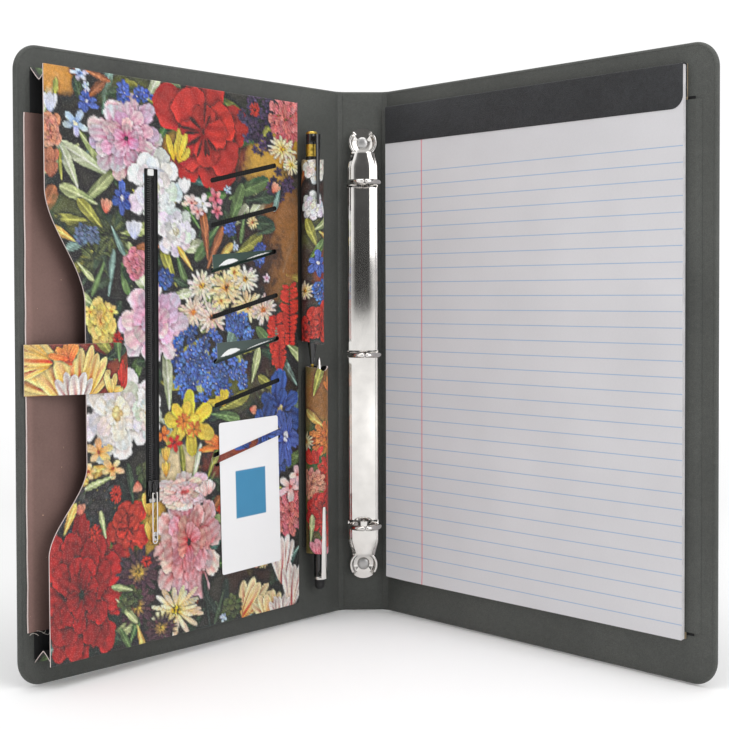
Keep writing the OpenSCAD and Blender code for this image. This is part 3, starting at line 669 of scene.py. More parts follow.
            self.ring(u, z, 0.08 * R, 6, 0.92 * R, 0.62 * R, ca, cb, sx, start=0.4, ruffle=0.05, streak=0.3, shadow=0.5)
            self.ring(u + 0.22 * ru, z + 0.15 * R, 0.05 * R, 6, 0.55 * R, 0.42 * R, ca, cb, sx, start=1.0, ruffle=0.05, streak=0.3, shadow=0.5)
            for du, dz in ((0.22, 0.15), (-0.16, -0.12)):
                self.ring(u + du * ru, z + dz * R, 0.03 * R, 9, 0.24 * R, 0.14 * R, cc, (236, 146, 60), sx, ruffle=0.1, shadow=0.4)
        elif kind == "tulip":
            for a, ln, wd in ((-28, 1.7, 0.6), (28, 1.7, 0.6), (-12, 1.85, 0.62), (14, 1.85, 0.62), (0, 1.7, 0.7)):
                qa = math.radians(90 - rot + a)
                self.petal(u - math.cos(math.radians(90 - rot)) * R * 0.9 * sx, z - math.sin(math.radians(90 - rot)) * R * 0.9, qa, ln * R, wd * R, ca, cb, tip=0.55, ruffle=0.03, streak=0.35, shadow=0.5, sx=sx, stripe=cc)
        elif kind == "bud":
            for a, wd in ((-22, 0.9), (22, 0.9), (0, 1.0)):
                self.petal(u, z - 0.8 * R, math.radians(90 + a + rot), 1.7 * R, wd * R, ca, cb, ruffle=0.03, streak=0.3, shadow=0.5, sx=sx)
        elif kind == "petals":
            for i in range(7):
                a = math.radians(90 - rot + (r.random() - 0.5) * 130)
                self.petal(u + (r.random() - 0.5) * 0.5 * ru, z - 0.5 * R + (r.random() - 0.5) * 0.4 * R, a, (0.9 + 0.5 * r.random()) * R, 0.6 * R, ca, cb, streak=0.4, shadow=0.45, sx=sx)
        elif kind == "spike":
            for i in range(16):
                f = i / 15
                y = z + R * (0.95 - 1.9 * f)
                for sgn in (-1, 1):
                    self.petal(u, y, math.radians(90 + sgn * (60 + 30 * r.random())), ru * (0.5 + 0.5 * math.sin(math.pi * min(1, f + 0.15))), ru * 0.42, ca, cb, shadow=0.4, streak=0.3)
        elif kind == "thistle":
            for i in range(40):
                a, w = r.random() * 6.28, r.random()
                self.petal(u + ru * 0.5 * w * math.cos(a), z + R * 0.5 * w * math.sin(a), a + (r.random() - 0.5), R * 0.55, R * 0.13, ca if i % 3 else cc, cb, tip=0.8, shadow=0.35, sx=sx)

    def finish(self):
        g = self.field(0.9)
        self.img *= (0.90 + 0.2 * g)[..., None]
        # crisper strokes: a small unsharp pass, then a touch more contrast
        b = self.img.copy()
        for _ in range(2):
            for ax in (0, 1):
                b = (np.roll(b, 1, ax) + 2 * b + np.roll(b, -1, ax)) / 4
        self.img = self.img + 0.85 * (self.img - b)
        w = self.img.copy()
        for _ in range(3):
            for ax in (0, 1):
                w = (np.roll(w, 4, ax) + 2 * w + np.roll(w, -4, ax)) / 4
        self.img = self.img + 0.35 * (self.img - w)
        self.img = np.clip(self.img, 0.003, 0.93)
        return self

    def sample(self, u, z):
        x = np.clip((np.asarray(u) - self.u0) / self.res, 0, self.w - 1.001)
        y = np.clip((np.asarray(z) - self.z0) / self.res, 0, self.h - 1.001)
        xi, yi = x.astype(int), y.astype(int)
        fx, fy = (x - xi)[:, None], (y - yi)[:, None]
        im = self.img
        return (im[yi, xi] * (1 - fx) + im[yi, xi + 1] * fx) * (1 - fy) + (im[yi + 1, xi] * (1 - fx) + im[yi + 1, xi + 1] * fx) * fy


GROUND = ((24, 27, 25), (52, 50, 42))

EXTRA = [
  ("iris", 32, 121, 20, 20, 30, "deepblue"), ("iris", 12, 116, 14, 20, -20, "cornflower"), ("petals", 46, 118, 9, 9, 40, "deepblue"),
]

PRINT = [
  ("wash", 15, 235, 19, 36, 0, "ochre"), ("wash", 44, 226, 27, 22, 0, "umber"),
  ("wash", 184, 315, 14, 9, 0, "amber"), ("wash", 171, 244, 17, 11, 0, "olive"),
  ("wash", 101, 281, 10, 14, 0, "gold"), ("wash", 65, 284, 24, 12, 0, "rust"),
  ("wash", 45, 39, 20, 15, 0, "umber"), ("wash", 120, 78, 13, 17, 0, "gold"),
  ("wash", 30, 155, 22, 13, 0, "umber"), ("wash", 58, 146, 18, 12, 0, "olive"),
  ("wash", 55, 109, 25, 11, 0, "rust"), ("wash", 130, 309, 21, 11, 0, "olive"),
  ("wash", 29, 280, 17, 14, 0, "gold"), ("wash", 12, 296, 11, 18, 0, "gold"),
  ("wash", 100, 107, 14, 11, 0, "cream"), ("leaf", 164, 274, 11, 18, 60, "paleleaf"),
  ("leaf", 174, 270, 9, 13, 20, "paleleaf"), ("leaf", 156, 259, 9, 16, -50, "stripeleaf"),
  ("leaf", 168, 255, 9, 13, 70, "stripeleaf"), ("leaf", 175, 242, 9, 12, 95, "oliveleaf"),
  ("leaf", 160, 245, 9, 12, 50, "oliveleaf"), ("leaf", 146, 238, 8, 13, -20, "darkleaf"),
  ("leaf", 153, 224, 8, 13, 15, "darkleaf"), ("leaf", 160, 217, 8, 12, -40, "darkleaf"),
  ("leaf", 147, 215, 5, 13, -8, "bluegreen"), ("leaf", 164, 200, 9, 7, 60, "stripeleaf"),
  ("leaf", 156, 208, 7, 9, -60, "darkleaf"), ("leaf", 43, 266, 13, 18, -70, "midleaf"),
  ("leaf", 54, 253, 11, 16, -30, "midleaf"), ("leaf", 38, 246, 12, 17, -100, "darkleaf"),
  ("leaf", 32, 260, 12, 14, -80, "darkleaf"), ("leaf", 57, 238, 10, 15, 20, "darkleaf"),
  ("leaf", 43, 232, 10, 13, -60, "oliveleaf"), ("leaf", 78, 237, 8, 15, 10, "rustleaf"),
  ("leaf", 71, 230, 7, 14, -20, "rustleaf"), ("leaf", 89, 248, 7, 10, 40, "midleaf"),
  ("leaf", 106, 218, 9, 12, 30, "oliveleaf"), ("leaf", 109, 208, 7, 9, -60, "darkleaf"),
  ("leaf", 97, 203, 8, 8, -80, "paleleaf"), ("leaf", 127, 313, 10, 12, 70, "oliveleaf"),
  ("leaf", 139, 312, 8, 11, 110, "darkleaf"), ("leaf", 117, 317, 8, 10, -30, "paleleaf"),
  ("leaf", 168, 308, 8, 9, 30, "darkleaf"), ("leaf", 157, 311, 7, 9, -40, "rustleaf"),
  ("leaf", 183, 307, 5, 7, 0, "oliveleaf"), ("leaf", 180, 270, 4, 8, 10, "oliveleaf"),
  ("leaf", 145, 192, 7, 9, -30, "darkleaf"), ("leaf", 27, 175, 9, 13, 50, "midleaf"),
  ("leaf", 21, 166, 8, 12, 70, "darkleaf"), ("leaf", 44, 171, 8, 9, 90, "oliveleaf"),
  ("leaf", 107, 155, 10, 17, 5, "paleleaf"), ("leaf", 134, 100, 6, 12, 8, "darkleaf"),
  ("leaf", 55, 140, 11, 13, -70, "oliveleaf"), ("leaf", 63, 133, 8, 12, -100, "midleaf"),
  ("leaf", 96, 105, 6, 14, 0, "oliveleaf"), ("leaf", 87, 104, 5, 15, -10, "paleleaf"),
  ("leaf", 74, 105, 5, 14, -20, "oliveleaf"), ("leaf", 38, 161, 8, 11, -20, "stripeleaf"),
  ("leaf", 27, 149, 8, 10, 60, "oliveleaf"), ("leaf", 144, 18, 10, 9, 60, "darkleaf"),
  ("leaf", 132, 22, 8, 9, -30, "midleaf"), ("leaf", 161, 94, 8, 9, -60, "darkleaf"),
  ("leaf", 178, 86, 6, 8, 40, "amberleaf"), ("leaf", 156, 110, 9, 8, 100, "amberleaf"),
  ("leaf", 163, 103, 8, 7, 60, "amberleaf"), ("poppy", 79, 295, 37, 34, 20, "red"),
  ("cluster", 33, 307, 19, 23, 0, "plum"), ("carnation", 11, 309, 15, 18, 0, "pinkred"),
  ("daisy", 14, 291, 13, 8, 0, "yellowwhite"), ("daisy", 6, 282, 8, 6, 0, "yellowwhite"),
  ("cluster", 16, 270, 11, 10, 0, "plum"), ("peony", 136, 287, 27, 23, 0, "pinkwhite"),
  ("petals", 100, 285, 9, 12, -30, "yellow"), ("bloom", 115, 262, 20, 21, 0, "white"),
  ("bloom", 101, 238, 14, 14, 0, "white"), ("bud", 94, 264, 6, 5, 0, "white"),
  ("iris", 139, 255, 8, 10, 0, "cornflower"), ("bud", 131, 238, 7, 6, 0, "lilacwhite"),
  ("floret", 170, 292, 8, 7, 0, "paleblue"), ("floret", 167, 318, 6, 4, 0, "bluewhite"),
  ("iris", 162, 304, 9, 6, 0, "cornflower"), ("bud", 186, 301, 6, 6, 0, "lilacwhite"),
  ("cluster", 125, 311, 6, 4, 0, "cornflower"), ("cluster", 138, 312, 4, 4, 0, "cornflower"),
  ("rose", 186, 287, 8, 10, 0, "coral"), ("bud", 186, 273, 7, 6, 0, "russet"),
  ("bud", 186, 267, 6, 5, 0, "russet"), ("thistle", 146, 235, 15, 12, 0, "moss"),
  ("thistle", 159, 222, 12, 11, 0, "moss"), ("cluster", 162, 234, 9, 5, 0, "slate"),
  ("rose", 130, 220, 8, 10, 0, "rosered"), ("cluster", 57, 242, 4, 3, 0, "cornflower"),
  ("cluster", 34, 223, 4, 4, 0, "cornflower"), ("cluster", 34, 230, 3, 3, 0, "cornflower"),
  ("floret", 89, 255, 8, 5, 0, "blush"), ("floret", 80, 255, 7, 5, 0, "white"),
  ("floret", 70, 258, 6, 6, 0, "rosered"), ("floret", 84, 250, 5, 4, 0, "blush"),
  ("floret", 69, 251, 5, 4, 0, "rosered"), ("dahlia", 81, 208, 12, 9, 0, "creamwhite"),
  ("dahlia", 62, 207, 15, 11, 0, "creamyellow"), ("daisy", 46, 212, 12, 8, 0, "creamwhite"),
  ("dahlia", 44, 196, 13, 9, 0, "creamyellow"), ("dahlia", 31, 194, 11, 9, 0, "creampink"),
  ("dahlia", 88, 193, 12, 9, 0, "creampink"), ("dahlia", 73, 190, 12, 10, 0, "creampink"),
  ("floret", 55, 216, 7, 5, 0, "creamyellow"), ("floret", 66, 199, 8, 5, 0, "creamyellow"),
  ("bloom", 119, 187, 25, 23, 0, "pinkcream"), ("rose", 154, 188, 11, 14, 0, "lemon"),
  ("floret", 147, 194, 5, 4, 0, "lemon"), ("floret", 161, 194, 5, 4, 0, "lemon"),
  ("cluster", 84, 172, 20, 15, 0, "blue"), ("cluster", 53, 188, 9, 8, 0, "blue"),
  ("cluster", 49, 179, 10, 6, 0, "blue"), ("spike", 8, 190, 9, 18, 0, "scarlet"),
  ("spike", 20, 175, 8, 15, 0, "scarlet"), ("spike", 17, 164, 6, 9, 0, "scarlet"),
  ("cluster", 82, 153, 21, 15, 0, "blue"), ("cluster", 58, 156, 15, 13, 0, "blue"),
  ("cluster", 89, 165, 14, 8, 0, "blue"), ("bloom", 144, 140, 26, 27, 0, "ivory"),
  ("floret", 156, 120, 9, 7, 0, "creamorange"), ("floret", 147, 110, 8, 6, 0, "creamorange"),
  ("floret", 163, 110, 6, 5, 0, "creamorange"), ("bloom", 122, 139, 11, 14, 0, "ivory"),
  ("petals", 62, 143, 11, 7, 60, "yellow"), ("petals", 66, 118, 16, 6, 60, "orange"),
  ("petals", 50, 120, 13, 5, 70, "orange"), ("daffodil", 91, 129, 21, 19, 0, "yellow"),
  ("floret", 103, 120, 6, 5, 0, "scarlet"), ("floret", 111, 125, 6, 5, 0, "orange"),
  ("bud", 109, 114, 4, 5, 0, "gold"), ("bud", 109, 106, 4, 5, 0, "gold"), ("bud", 112, 94, 4, 6, 0, "gold"),
  ("iris", 17, 133, 26, 26, 0, "deepblue"), ("iris", 20, 108, 12, 18, 0, "deepblue"),
  ("cluster2", 159, 89, 21, 14, 0, "nearblack"), ("poppy", 136, 77, 15, 16, 0, "scarlet"),
  ("peony", 168, 46, 30, 40, 0, "bloodred"), ("bud", 121, 88, 7, 8, 0, "gold"),
  ("petals", 120, 73, 9, 11, 0, "gold"), ("peony", 92, 63, 26, 34, 0, "pinkredwhite"),
  ("bloom", 95, 92, 21, 11, 0, "blush"), ("petals", 77, 92, 11, 7, 30, "blush"),
  ("dahlia", 129, 52, 17, 14, 0, "purplebrown"), ("dahlia", 130, 33, 13, 11, 0, "purplebrown"),
  ("daisy2", 102, 26, 20, 15, 0, "yellowwhite"), ("dahlia", 113, 18, 12, 9, 0, "purplebrown"),
  ("leaf", 79, 27, 7, 17, 8, "blackleaf"), ("leaf", 65, 23, 9, 15, -14, "blackleaf"),
  ("leaf", 72, 20, 7, 13, 30, "blackleaf"), ("tulip", 42, 22, 17, 13, -30, "tulipyellow"),
  ("tulip", 28, 14, 15, 11, 10, "tulipyellow"), ("tulip", 16, 42, 13, 17, 0, "tulipwhite"),
  ("tulip", 6, 24, 13, 16, -10, "tulipwhite"), ("tulip", 18, 12, 11, 9, 0, "tulipwhite"),
  ("carnation", 9, 70, 15, 16, 0, "pinkred"), ("floret", 8, 85, 11, 9, 0, "blush"),
  ("floret", 1, 92, 8, 7, 0, "blush"),
]


panel_art = Canvas(-2, 192, 10, 323, 0.4, GROUND, 11)
for _k in range(150):
    panel_art.flower("leaf", panel_art.r.uniform(0, 190), panel_art.r.uniform(12, 320), panel_art.r.uniform(7, 12), panel_art.r.uniform(9, 15), panel_art.r.uniform(-180, 180),
                     ("darkleaf", "midleaf", "oliveleaf", "darkleaf", "rustleaf", "stripeleaf", "bluegreen", "midleaf", "paleleaf", "darkleaf")[int(panel_art.r.integers(10))])
for item in PRINT:
    panel_art.flower(*item)
for item in EXTRA:
    panel_art.flower(*item)
# the dark ground between the flowers is filled with leaves and small flowers
FILL = (("leaf", 5, 9, "midleaf"), ("leaf", 5, 9, "oliveleaf"), ("leaf", 6, 10, "bluegreen"), ("leaf", 5, 9, "stripeleaf"), ("leaf", 6, 9, "amberleaf"), ("leaf", 5, 9, "darkleaf"), ("leaf", 5, 8, "rustleaf"),
        ("floret", 3, 3, "paleblue"), ("daisy2", 4, 4, "creamorange"), ("floret", 3, 3, "pinkwhite"), ("cluster", 6, 6, "blue"), ("bud", 4, 4, "coral"), ("daisy2", 4, 4, "scarlet"), ("cluster2", 6, 6, "moss"))
for _k in range(420):
    _r = panel_art.r
    _u, _z = _r.uniform(2, 188), _r.uniform(14, 319)
    _x, _y = int((_u + 2) / 0.4), int((_z - 10) / 0.4)
    _p = panel_art.img[max(_y - 9, 0):_y + 9, max(_x - 9, 0):_x + 9]
    if _p.size and _p.mean() < 0.062:
        _f = FILL[int(_r.integers(len(FILL)))]
        panel_art.flower(_f[0], _u, _z, _f[1] * _r.uniform(0.8, 1.2), _f[2] * _r.uniform(0.8, 1.2), _r.uniform(-180, 180), _f[3])
panel_art.finish()


# ---------------------------------------------------------------- mesh helpers
def link(o):
    bpy.context.scene.collection.objects.link(o)
    return o


def make(name, pts, faces, fr=None, mats=(), idx=None, sharp=35, flat=None):
    """A mesh object from local millimetre points."""
    P = world(fr, pts) if fr is not None else np.asarray(pts, float) * 0.001
    me = bpy.data.meshes.new(name)
    me.from_pydata(P.tolist(), [], [tuple(int(i) for i in f) for f in faces])
    for m in mats:
        me.materials.append(m)
    if idx is not None:
        me.polygons.foreach_set("material_index", np.asarray(idx, np.int32))
    if flat is not None:
        a = me.attributes.new("flat", "FLOAT_VECTOR", "POINT")
        a.data.foreach_set("vector", np.asarray(flat, np.float32).ravel())
    me.update()
    bm = bmesh.new()
    bm.from_mesh(me)
    bmesh.ops.recalc_face_normals(bm, faces=bm.faces)
    bm.to_mesh(me)
    bm.free()
    me.polygons.foreach_set("use_smooth", np.ones(len(me.polygons), bool))
    if sharp:
        me.set_sharp_from_angle(angle=math.radians(sharp))
    me.update()
    return link(bpy.data.objects.new(name, me))


def put(o, body, nodes=()):
    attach(o, body)
    if nodes:
        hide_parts(*nodes)
    return o


def mesh_local(o, fr):
    co = np.empty(len(o.data.vertices) * 3)
    o.data.vertices.foreach_get("co", co)
    return (co.reshape(-1, 3) * 1000.0 - fr[0]) @ fr[1]


def colour(o, rgb, name="print"):
    a = o.data.color_attributes.new(name, "FLOAT_COLOR", "POINT")
    c = np.ones((len(o.data.vertices), 4), np.float32)
    c[:, :3] = rgb
    a.data.foreach_set("color", c.ravel())


def loops(name, rings, fr=None, mats=(), ring_mat=None, cap=(True, True), closed=False, sharp=35, flat=None):
    """Skins a stack of closed rings that have the same number of points."""
    R = np.asarray(rings, float)
    k, n = R.shape[0], R.shape[1]
    F, I = [], []
    last = k if closed else k - 1
    for i in range(last):
        j = (i + 1) % k
        for a in range(n):
            b = (a + 1) % n
            F.append((i * n + a, i * n + b, j * n + b, j * n + a))
            I.append(ring_mat[i] if ring_mat is not None and np.ndim(ring_mat[i]) == 0 else (ring_mat[i][a] if ring_mat is not None else 0))
    if not closed:
        if cap[0]:
            F.append(tuple(range(n)))
            I.append(I[0])
        if cap[1]:
            F.append(tuple((k - 1) * n + a for a in range(n)))
            I.append(I[(k - 2) * n])
    pts = R.reshape(-1, 3)
    return make(name, pts, F, fr, mats, I, sharp, flat)


def offset_poly(p, d):
    """Moves each point of a closed counter-clockwise outline inwards by d."""
    p = np.asarray(p, float)
    a, b = p - np.roll(p, 1, 0), np.roll(p, -1, 0) - p
    a /= np.linalg.norm(a, axis=1)[:, None] + 1e-12
    b /= np.linalg.norm(b, axis=1)[:, None] + 1e-12
    na, nb = np.stack([-a[:, 1], a[:, 0]], 1), np.stack([-b[:, 1], b[:, 0]], 1)
    m = na + nb
    m /= np.linalg.norm(m, axis=1)[:, None] + 1e-12
    k = 1.0 / np.clip((m * na).sum(1), 0.45, 1)
    return p + m * (d * k)[:, None]


def rrect(a0, b0, w, h, r, seg=6, turn=0.0, pivot=None):
    r = min(r, w / 2 - 1e-4, h / 2 - 1e-4)
    pts = []
    for cx, cy, q in ((a0 + w - r, b0 + r, -90), (a0 + w - r, b0 + h - r, 0), (a0 + r, b0 + h - r, 90), (a0 + r, b0 + r, 180)):
        for i in range(seg + 1):
            t = math.radians(q + 90 * i / seg)
            pts.append((cx + r * math.cos(t), cy + r * math.sin(t)))
    pts = np.array(pts)
    if turn:
        t = math.radians(turn)
        c = np.array(pivot if pivot is not None else (a0 + w / 2, b0 + h / 2))
        rot = np.array([[math.cos(t), math.sin(t)], [-math.sin(t), math.cos(t)]])
        pts = (pts - c) @ rot + c
    return pts


def plate(name, outline, n0, n1, rad, fr, mats, steps=3, bulge=0.0, flatmap=None, sharp=40):
    """A plate with rounded edges; local coordinates (a, n, b) for outline points (a, b)."""
    rad = min(rad, (n1 - n0) / 2 - 1e-4)
    prof = []
    for i in range(steps + 1):
        t = math.pi / 2 * i / steps
        prof.append((rad * (1 - math.sin(t)), n0 + rad * (1 - math.cos(t))))
    for i in range(steps, -1, -1):
        t = math.pi / 2 * i / steps
        prof.append((rad * (1 - math.sin(t)), n1 - rad * (1 - math.cos(t))))
    rings = []
    for d, n in prof:
        q = offset_poly(outline, d)
        rings.append(np.stack([q[:, 0], np.full(len(q), n), q[:, 1]], 1))
    pts = np.concatenate(rings)
    return loops(name, rings, fr, mats, flat=np.stack([pts[:, 0], pts[:, 2], pts[:, 1]], 1), sharp=sharp)


def shell(name, top, bot, fr, mats, sharp=35, flat=True):
    """A closed skin between two grids: materials are top, bottom, sides."""
    top, bot = np.asarray(top, float), np.asarray(bot, float)
    ny, nx = top.shape[:2]
    off = ny * nx
    F, I = [], []
    idx = np.arange(off).reshape(ny, nx)
    a, b, c, d = idx[:-1, :-1].ravel(), idx[:-1, 1:].ravel(), idx[1:, 1:].ravel(), idx[1:, :-1].ravel()
    t = np.stack([a, b, c, d], 1)
    F += t.tolist(); I += [0] * len(t)
    F += (t[:, ::-1] + off).tolist(); I += [1] * len(t)
    rim = list(idx[0, :]) + list(idx[1:, -1]) + list(idx[-1, -2::-1]) + list(idx[-2:0:-1, 0])
    for i in range(len(rim)):
        p, q = rim[i], rim[(i + 1) % len(rim)]
        F.append((q, p, p + off, q + off)); I.append(2)
    I = [min(i, len(mats) - 1) for i in I]
    pts = np.concatenate([top.reshape(-1, 3), bot.reshape(-1, 3)])
    fl = np.stack([pts[:, 0], pts[:, 2], pts[:, 1]], 1) if flat else None
    return make(name, pts, F, fr, mats, I, sharp, fl)


def lathe(name, prof, a, n, fr, mats, seg=40, idx=None, sharp=40, cap=(True, True)):
    """Turned piece on an upright axis at (a, n); prof is a list of (radius, z)."""
    rings = []
    for r, z in prof:
        t = np.linspace(0, 2 * math.pi, seg, endpoint=False)
        rings.append(np.stack([a + r * np.cos(t), n + r * np.sin(t), np.full(seg, z)], 1))
    return loops(name, rings, fr, mats, ring_mat=idx, sharp=sharp, cap=cap)


def tube(name, path, radius, fr, mats, seg=16, closed=False, sharp=40, flatten=1.0):
    P = np.asarray(path, float)
    k = len(P)
    T = np.roll(P, -1, 0) - np.roll(P, 1, 0) if closed else np.gradient(P, axis=0)
    T /= np.linalg.norm(T, axis=1)[:, None]
    ref = np.array([0, 0, 1.0]) if abs(T[0][2]) < 0.9 else np.array([1.0, 0, 0])
    u = np.cross(T[0], ref); u /= np.linalg.norm(u)
    rings = []
    rad = np.full(k, radius) if np.ndim(radius) == 0 else np.asarray(radius)
    for i in range(k):
        u = u - T[i] * (u @ T[i]); u /= np.linalg.norm(u)
        v = np.cross(T[i], u)
        q = np.linspace(0, 2 * math.pi, seg, endpoint=False)
        rings.append(P[i] + rad[i] * (np.cos(q)[:, None] * u + flatten * np.sin(q)[:, None] * v))
    return loops(name, rings, fr, mats, closed=closed, sharp=sharp)


def join(name, objs):
    """Joins separate closed shells into one named mesh."""
    bpy.ops.object.select_all(action="DESELECT")
    for o in objs:
        o.select_set(True)
    bpy.context.view_layer.objects.active = objs[0]
    bpy.ops.object.join()
    objs[0].name = name
    objs[0].data.name = name
    return objs[0]


def smooth01(t):
    t = np.clip(t, 0, 1)
    return t * t * (3 - 2 * t)


# ---------------------------------------------------------------- covers and spine
CORNER = 14.0


def cover_loop(d, s0=3.0, seg=14):
    r = CORNER - d
    pts = [(s0, d)]
    for i in range(seg + 1):
        t = math.radians(-90 + 90 * i / seg)
        pts.append((W - CORNER + r * math.cos(t), CORNER + r * math.sin(t)))
    for i in range(seg + 1):
        t = math.radians(90 * i / seg)
        pts.append((W - CORNER + r * math.cos(t), H - CORNER + r * math.sin(t)))
    pts.append((s0, H - d))
    return np.array(pts)


def cover(side, fr, body):
    prof = [(4.5, -0.5), (2.08, -0.5), (2.0, -0.3), (1.96, -0.08), (1.85, -0.005)]
    for i in range(0, 13):
        t = math.pi * i / 12
        prof.append((1.7 * (1 - math.sin(t)), -1.7 + 1.7 * math.cos(t)))
    prof += [(4.0, -3.40), (9.0, -3.40)]
    rings = [np.stack([q[:, 0], np.full(len(q), n), q[:, 1]], 1) for q, n in ((cover_loop(d), n) for d, n in prof)]
    mats = [0] * 4 + [0] * 7 + [1] * 30
    wrap = loops(side + "_cover_wrap", rings, fr, (M_LINING, M_SKIN), ring_mat=mats[:len(prof)], sharp=32)
    put(wrap, body, (side + "_skin", side + "_board"))
    lin_ = plate(side + "_cover_lining", cover_loop(1.98), -0.5, 0.0, 0.08, fr, (M_LINING,))
    put(lin_, body, (side + "_lining",))


cover("left", LEFT, "left_cover")
cover("right", RIGHT, "right_cover")


def band(name, stations, mats):
    """A bent strip as tall as the case with rounded upper and lower ends."""
    rings = []
    K = 10
    for P, out, t in stations:
        P, out = np.asarray(P, float), np.asarray(out, float)
        row = []
        zz = np.linspace(1.7, H - 1.7, 26)
        for i in range(K + 1):
            q = math.pi * i / K
            row.append((t / 2 - t / 2 * math.cos(q), 1.7 * (1 - math.sin(q))))
        row += [(t, z) for z in zz[1:-1]]
        for i in range(K, -1, -1):
            q = math.pi * i / K
            row.append((t / 2 - t / 2 * math.cos(q), H - 1.7 * (1 - math.sin(q))))
        row += [(0.0, z) for z in zz[-2:0:-1]]
        rings.append([P + out * d + np.array([0, 0, z]) for d, z in row])
    n = len(rings[0])
    half = [0 if (row[a][0] + row[(a + 1) % n][0]) / 2 < stations[0][2] * 0.5 else 1 for a in range(n)]
    return loops(name, rings, None, mats, ring_mat=[half] * len(rings), sharp=50)


spine_wrap = band("spine_wrap", [((x, 0, 0), (0, 1, 0), 3.4) for x in (-11.5, -5.0, 0.0, 5.0, 11.5)], (M_LINING, M_SKIN))
put(spine_wrap, "spine", ("spine_skin", "spine_board", "spine_lining"))


def crease(side, sg, ax, ang, fr, body):
    st = []
    inner = lambda q, q0: -0.22 * math.exp(-((q - q0) / 0.5) ** 2)
    arc = CR * ang
    L1 = ax - 11.5
    s_end = 3.0
    s_start = CR * math.tan(ang / 2)
    L3 = s_end - s_start
    total = L1 + arc + L3
    NST = 26
    for i in range(NST + 1):
        q = total * i / NST
        if q <= L1:
            P, out = np.array([sg * (11.5 + q), 0, 0]), np.array([0, 1.0, 0])
        elif q <= L1 + arc:
            t = (q - L1) / CR
            out = np.array([sg * math.sin(t), math.cos(t), 0])
            P = np.array([sg * ax, -CR, 0]) + CR * out
        else:
            s = s_start + q - L1 - arc
            P = fr[0] + fr[1] @ np.array([s, 0, 0])
            out = -(fr[1] @ np.array([0, 1.0, 0]))
        dip = inner(q, L1 + 0.2) + inner(q, L1 + arc - 0.2) + 0.10 * math.exp(-((q - total / 2) / 0.9) ** 2)
        f = max(0.0, math.sin(math.pi * q / total))
        st.append((P - out * dip, out, 3.4 - 0.9 * f ** 0.7 + dip))
    o = band(side + "_crease", st, (M_LINING, M_SKIN))
    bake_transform(o)
    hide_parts(side + "_hinge_strip")


crease("left", -1, AXL, LO, LEFT, "left_cover")
crease("right", 1, AXR, RO, RIGHT, "right_cover")

# ---------------------------------------------------------------- writing pad
PAD_W, PAD_H, PAD_S, PAD_Z, PAD_F = 215.9, 298.4, 5.0, 23.0, 4.6


def pad_sleeve():
    s = np.concatenate([np.linspace(3.25, 8, 7), np.linspace(12, 220, 27), np.linspace(222, 229.5, 12)])
    z = np.concatenate([np.linspace(27, 31, 5), np.linspace(38, 292, 30), np.linspace(298, 302.5, 5)])
    S, Z = np.meshgrid(s, z)
    up = smooth01((S - 3.2) / 2.6) * smooth01((229.5 - S) / 3.4)
    top = 0.16 + 1.30 * up
    wav = 0.035 * np.sin(S / 21.0) * np.cos(Z / 37.0) * up
    t = np.stack([S, top + wav, Z], 2)
    bot = np.stack([S, np.maximum(0.02, top + wav - 0.6), Z], 2)
    o = shell("pad_sleeve_cloth", t, bot, RIGHT, (M_LINING, M_LINING, M_RIM), sharp=50)
    return put(o, "right_cover", ("pad_sleeve",))


pad_sleeve()

# painted shade: thin dark cloth plates on the lining stand in for the shadow in the slits where the sleeve ends
for nm, z0 in (("upper", 302.6), ("lower", 25.2)):
    o = plate("sleeve_slit_" + nm, rrect(219.6, z0, 5.9, 1.7, 0.5), 0.0, 0.14, 0.05, RIGHT, (M_BLACKCLOTH_AND_SHADE,))
    put(o, "right_cover", ())


def pad_stack():
    parts, r = [], np.random.default_rng(3)
    n0, n1, k = 1.72, PAD_F - 0.13, 17
    h = (n1 - n0) / k
    for i in range(k):
        da, db, dc = (r.random(3) - 0.5) * 0.34
        a0, b0 = PAD_S + 0.2 + da, PAD_Z + 0.2 + db
        w = PAD_W - 0.4 + dc
        parts.append(plate("leaf%02d" % i, rrect(a0, b0, w, PAD_H - 0.8 - db, 0.5, 2), n0 + i * h + 0.012, n0 + (i + 1) * h - 0.012, 0.05, RIGHT, (M_SHEETS,), steps=1))
    o = join("pad_sheet_stack", parts)
    return put(o, "pad", ("pad_sheets",))


pad_stack()


def top_sheet():
    s, z = np.linspace(PAD_S, PAD_S + PAD_W, 110), np.linspace(PAD_Z, PAD_Z + PAD_H - 0.8, 150)
    S, Z = np.meshgrid(s, z)
    a, b = S - PAD_S, Z - PAD_Z
    corner = np.clip(1 - (a + b * 0.9) / 26.0, 0, 1)
    lift = 1.5 * corner ** 1.8
    low = 0.35 * np.clip(1 - b / 10.0, 0, 1) ** 2 * (0.5 + 0.5 * np.sin(a / 38.0 + 0.6))
    wave = 0.02 * (1 + np.sin(a / 29.0 + 1.1) * np.cos(b / 43.0)) * np.clip(b / 20.0, 0, 1)
    n = PAD_F + 0.04 + lift + low + wave
    shrink = 1.9 * corner ** 2
    t = np.stack([S + shrink * 0.8, n, Z + 0.5 * shrink], 2)
    bt = t.copy(); bt[:, :, 1] -= 0.09
    o = shell("pad_ruled_sheet", t, bt, RIGHT, (M_RULED, M_SHEETS, M_SHEETS), sharp=50)
    # the print stays on the flat sheet
    fl = np.concatenate([np.stack([S, Z, 0 * S], 2).reshape(-1, 3)] * 2)
    o.data.attributes["flat"].data.foreach_set("vector", fl.astype(np.float32).ravel())
    return put(o, "pad", ("pad_top_sheet",))


top_sheet()


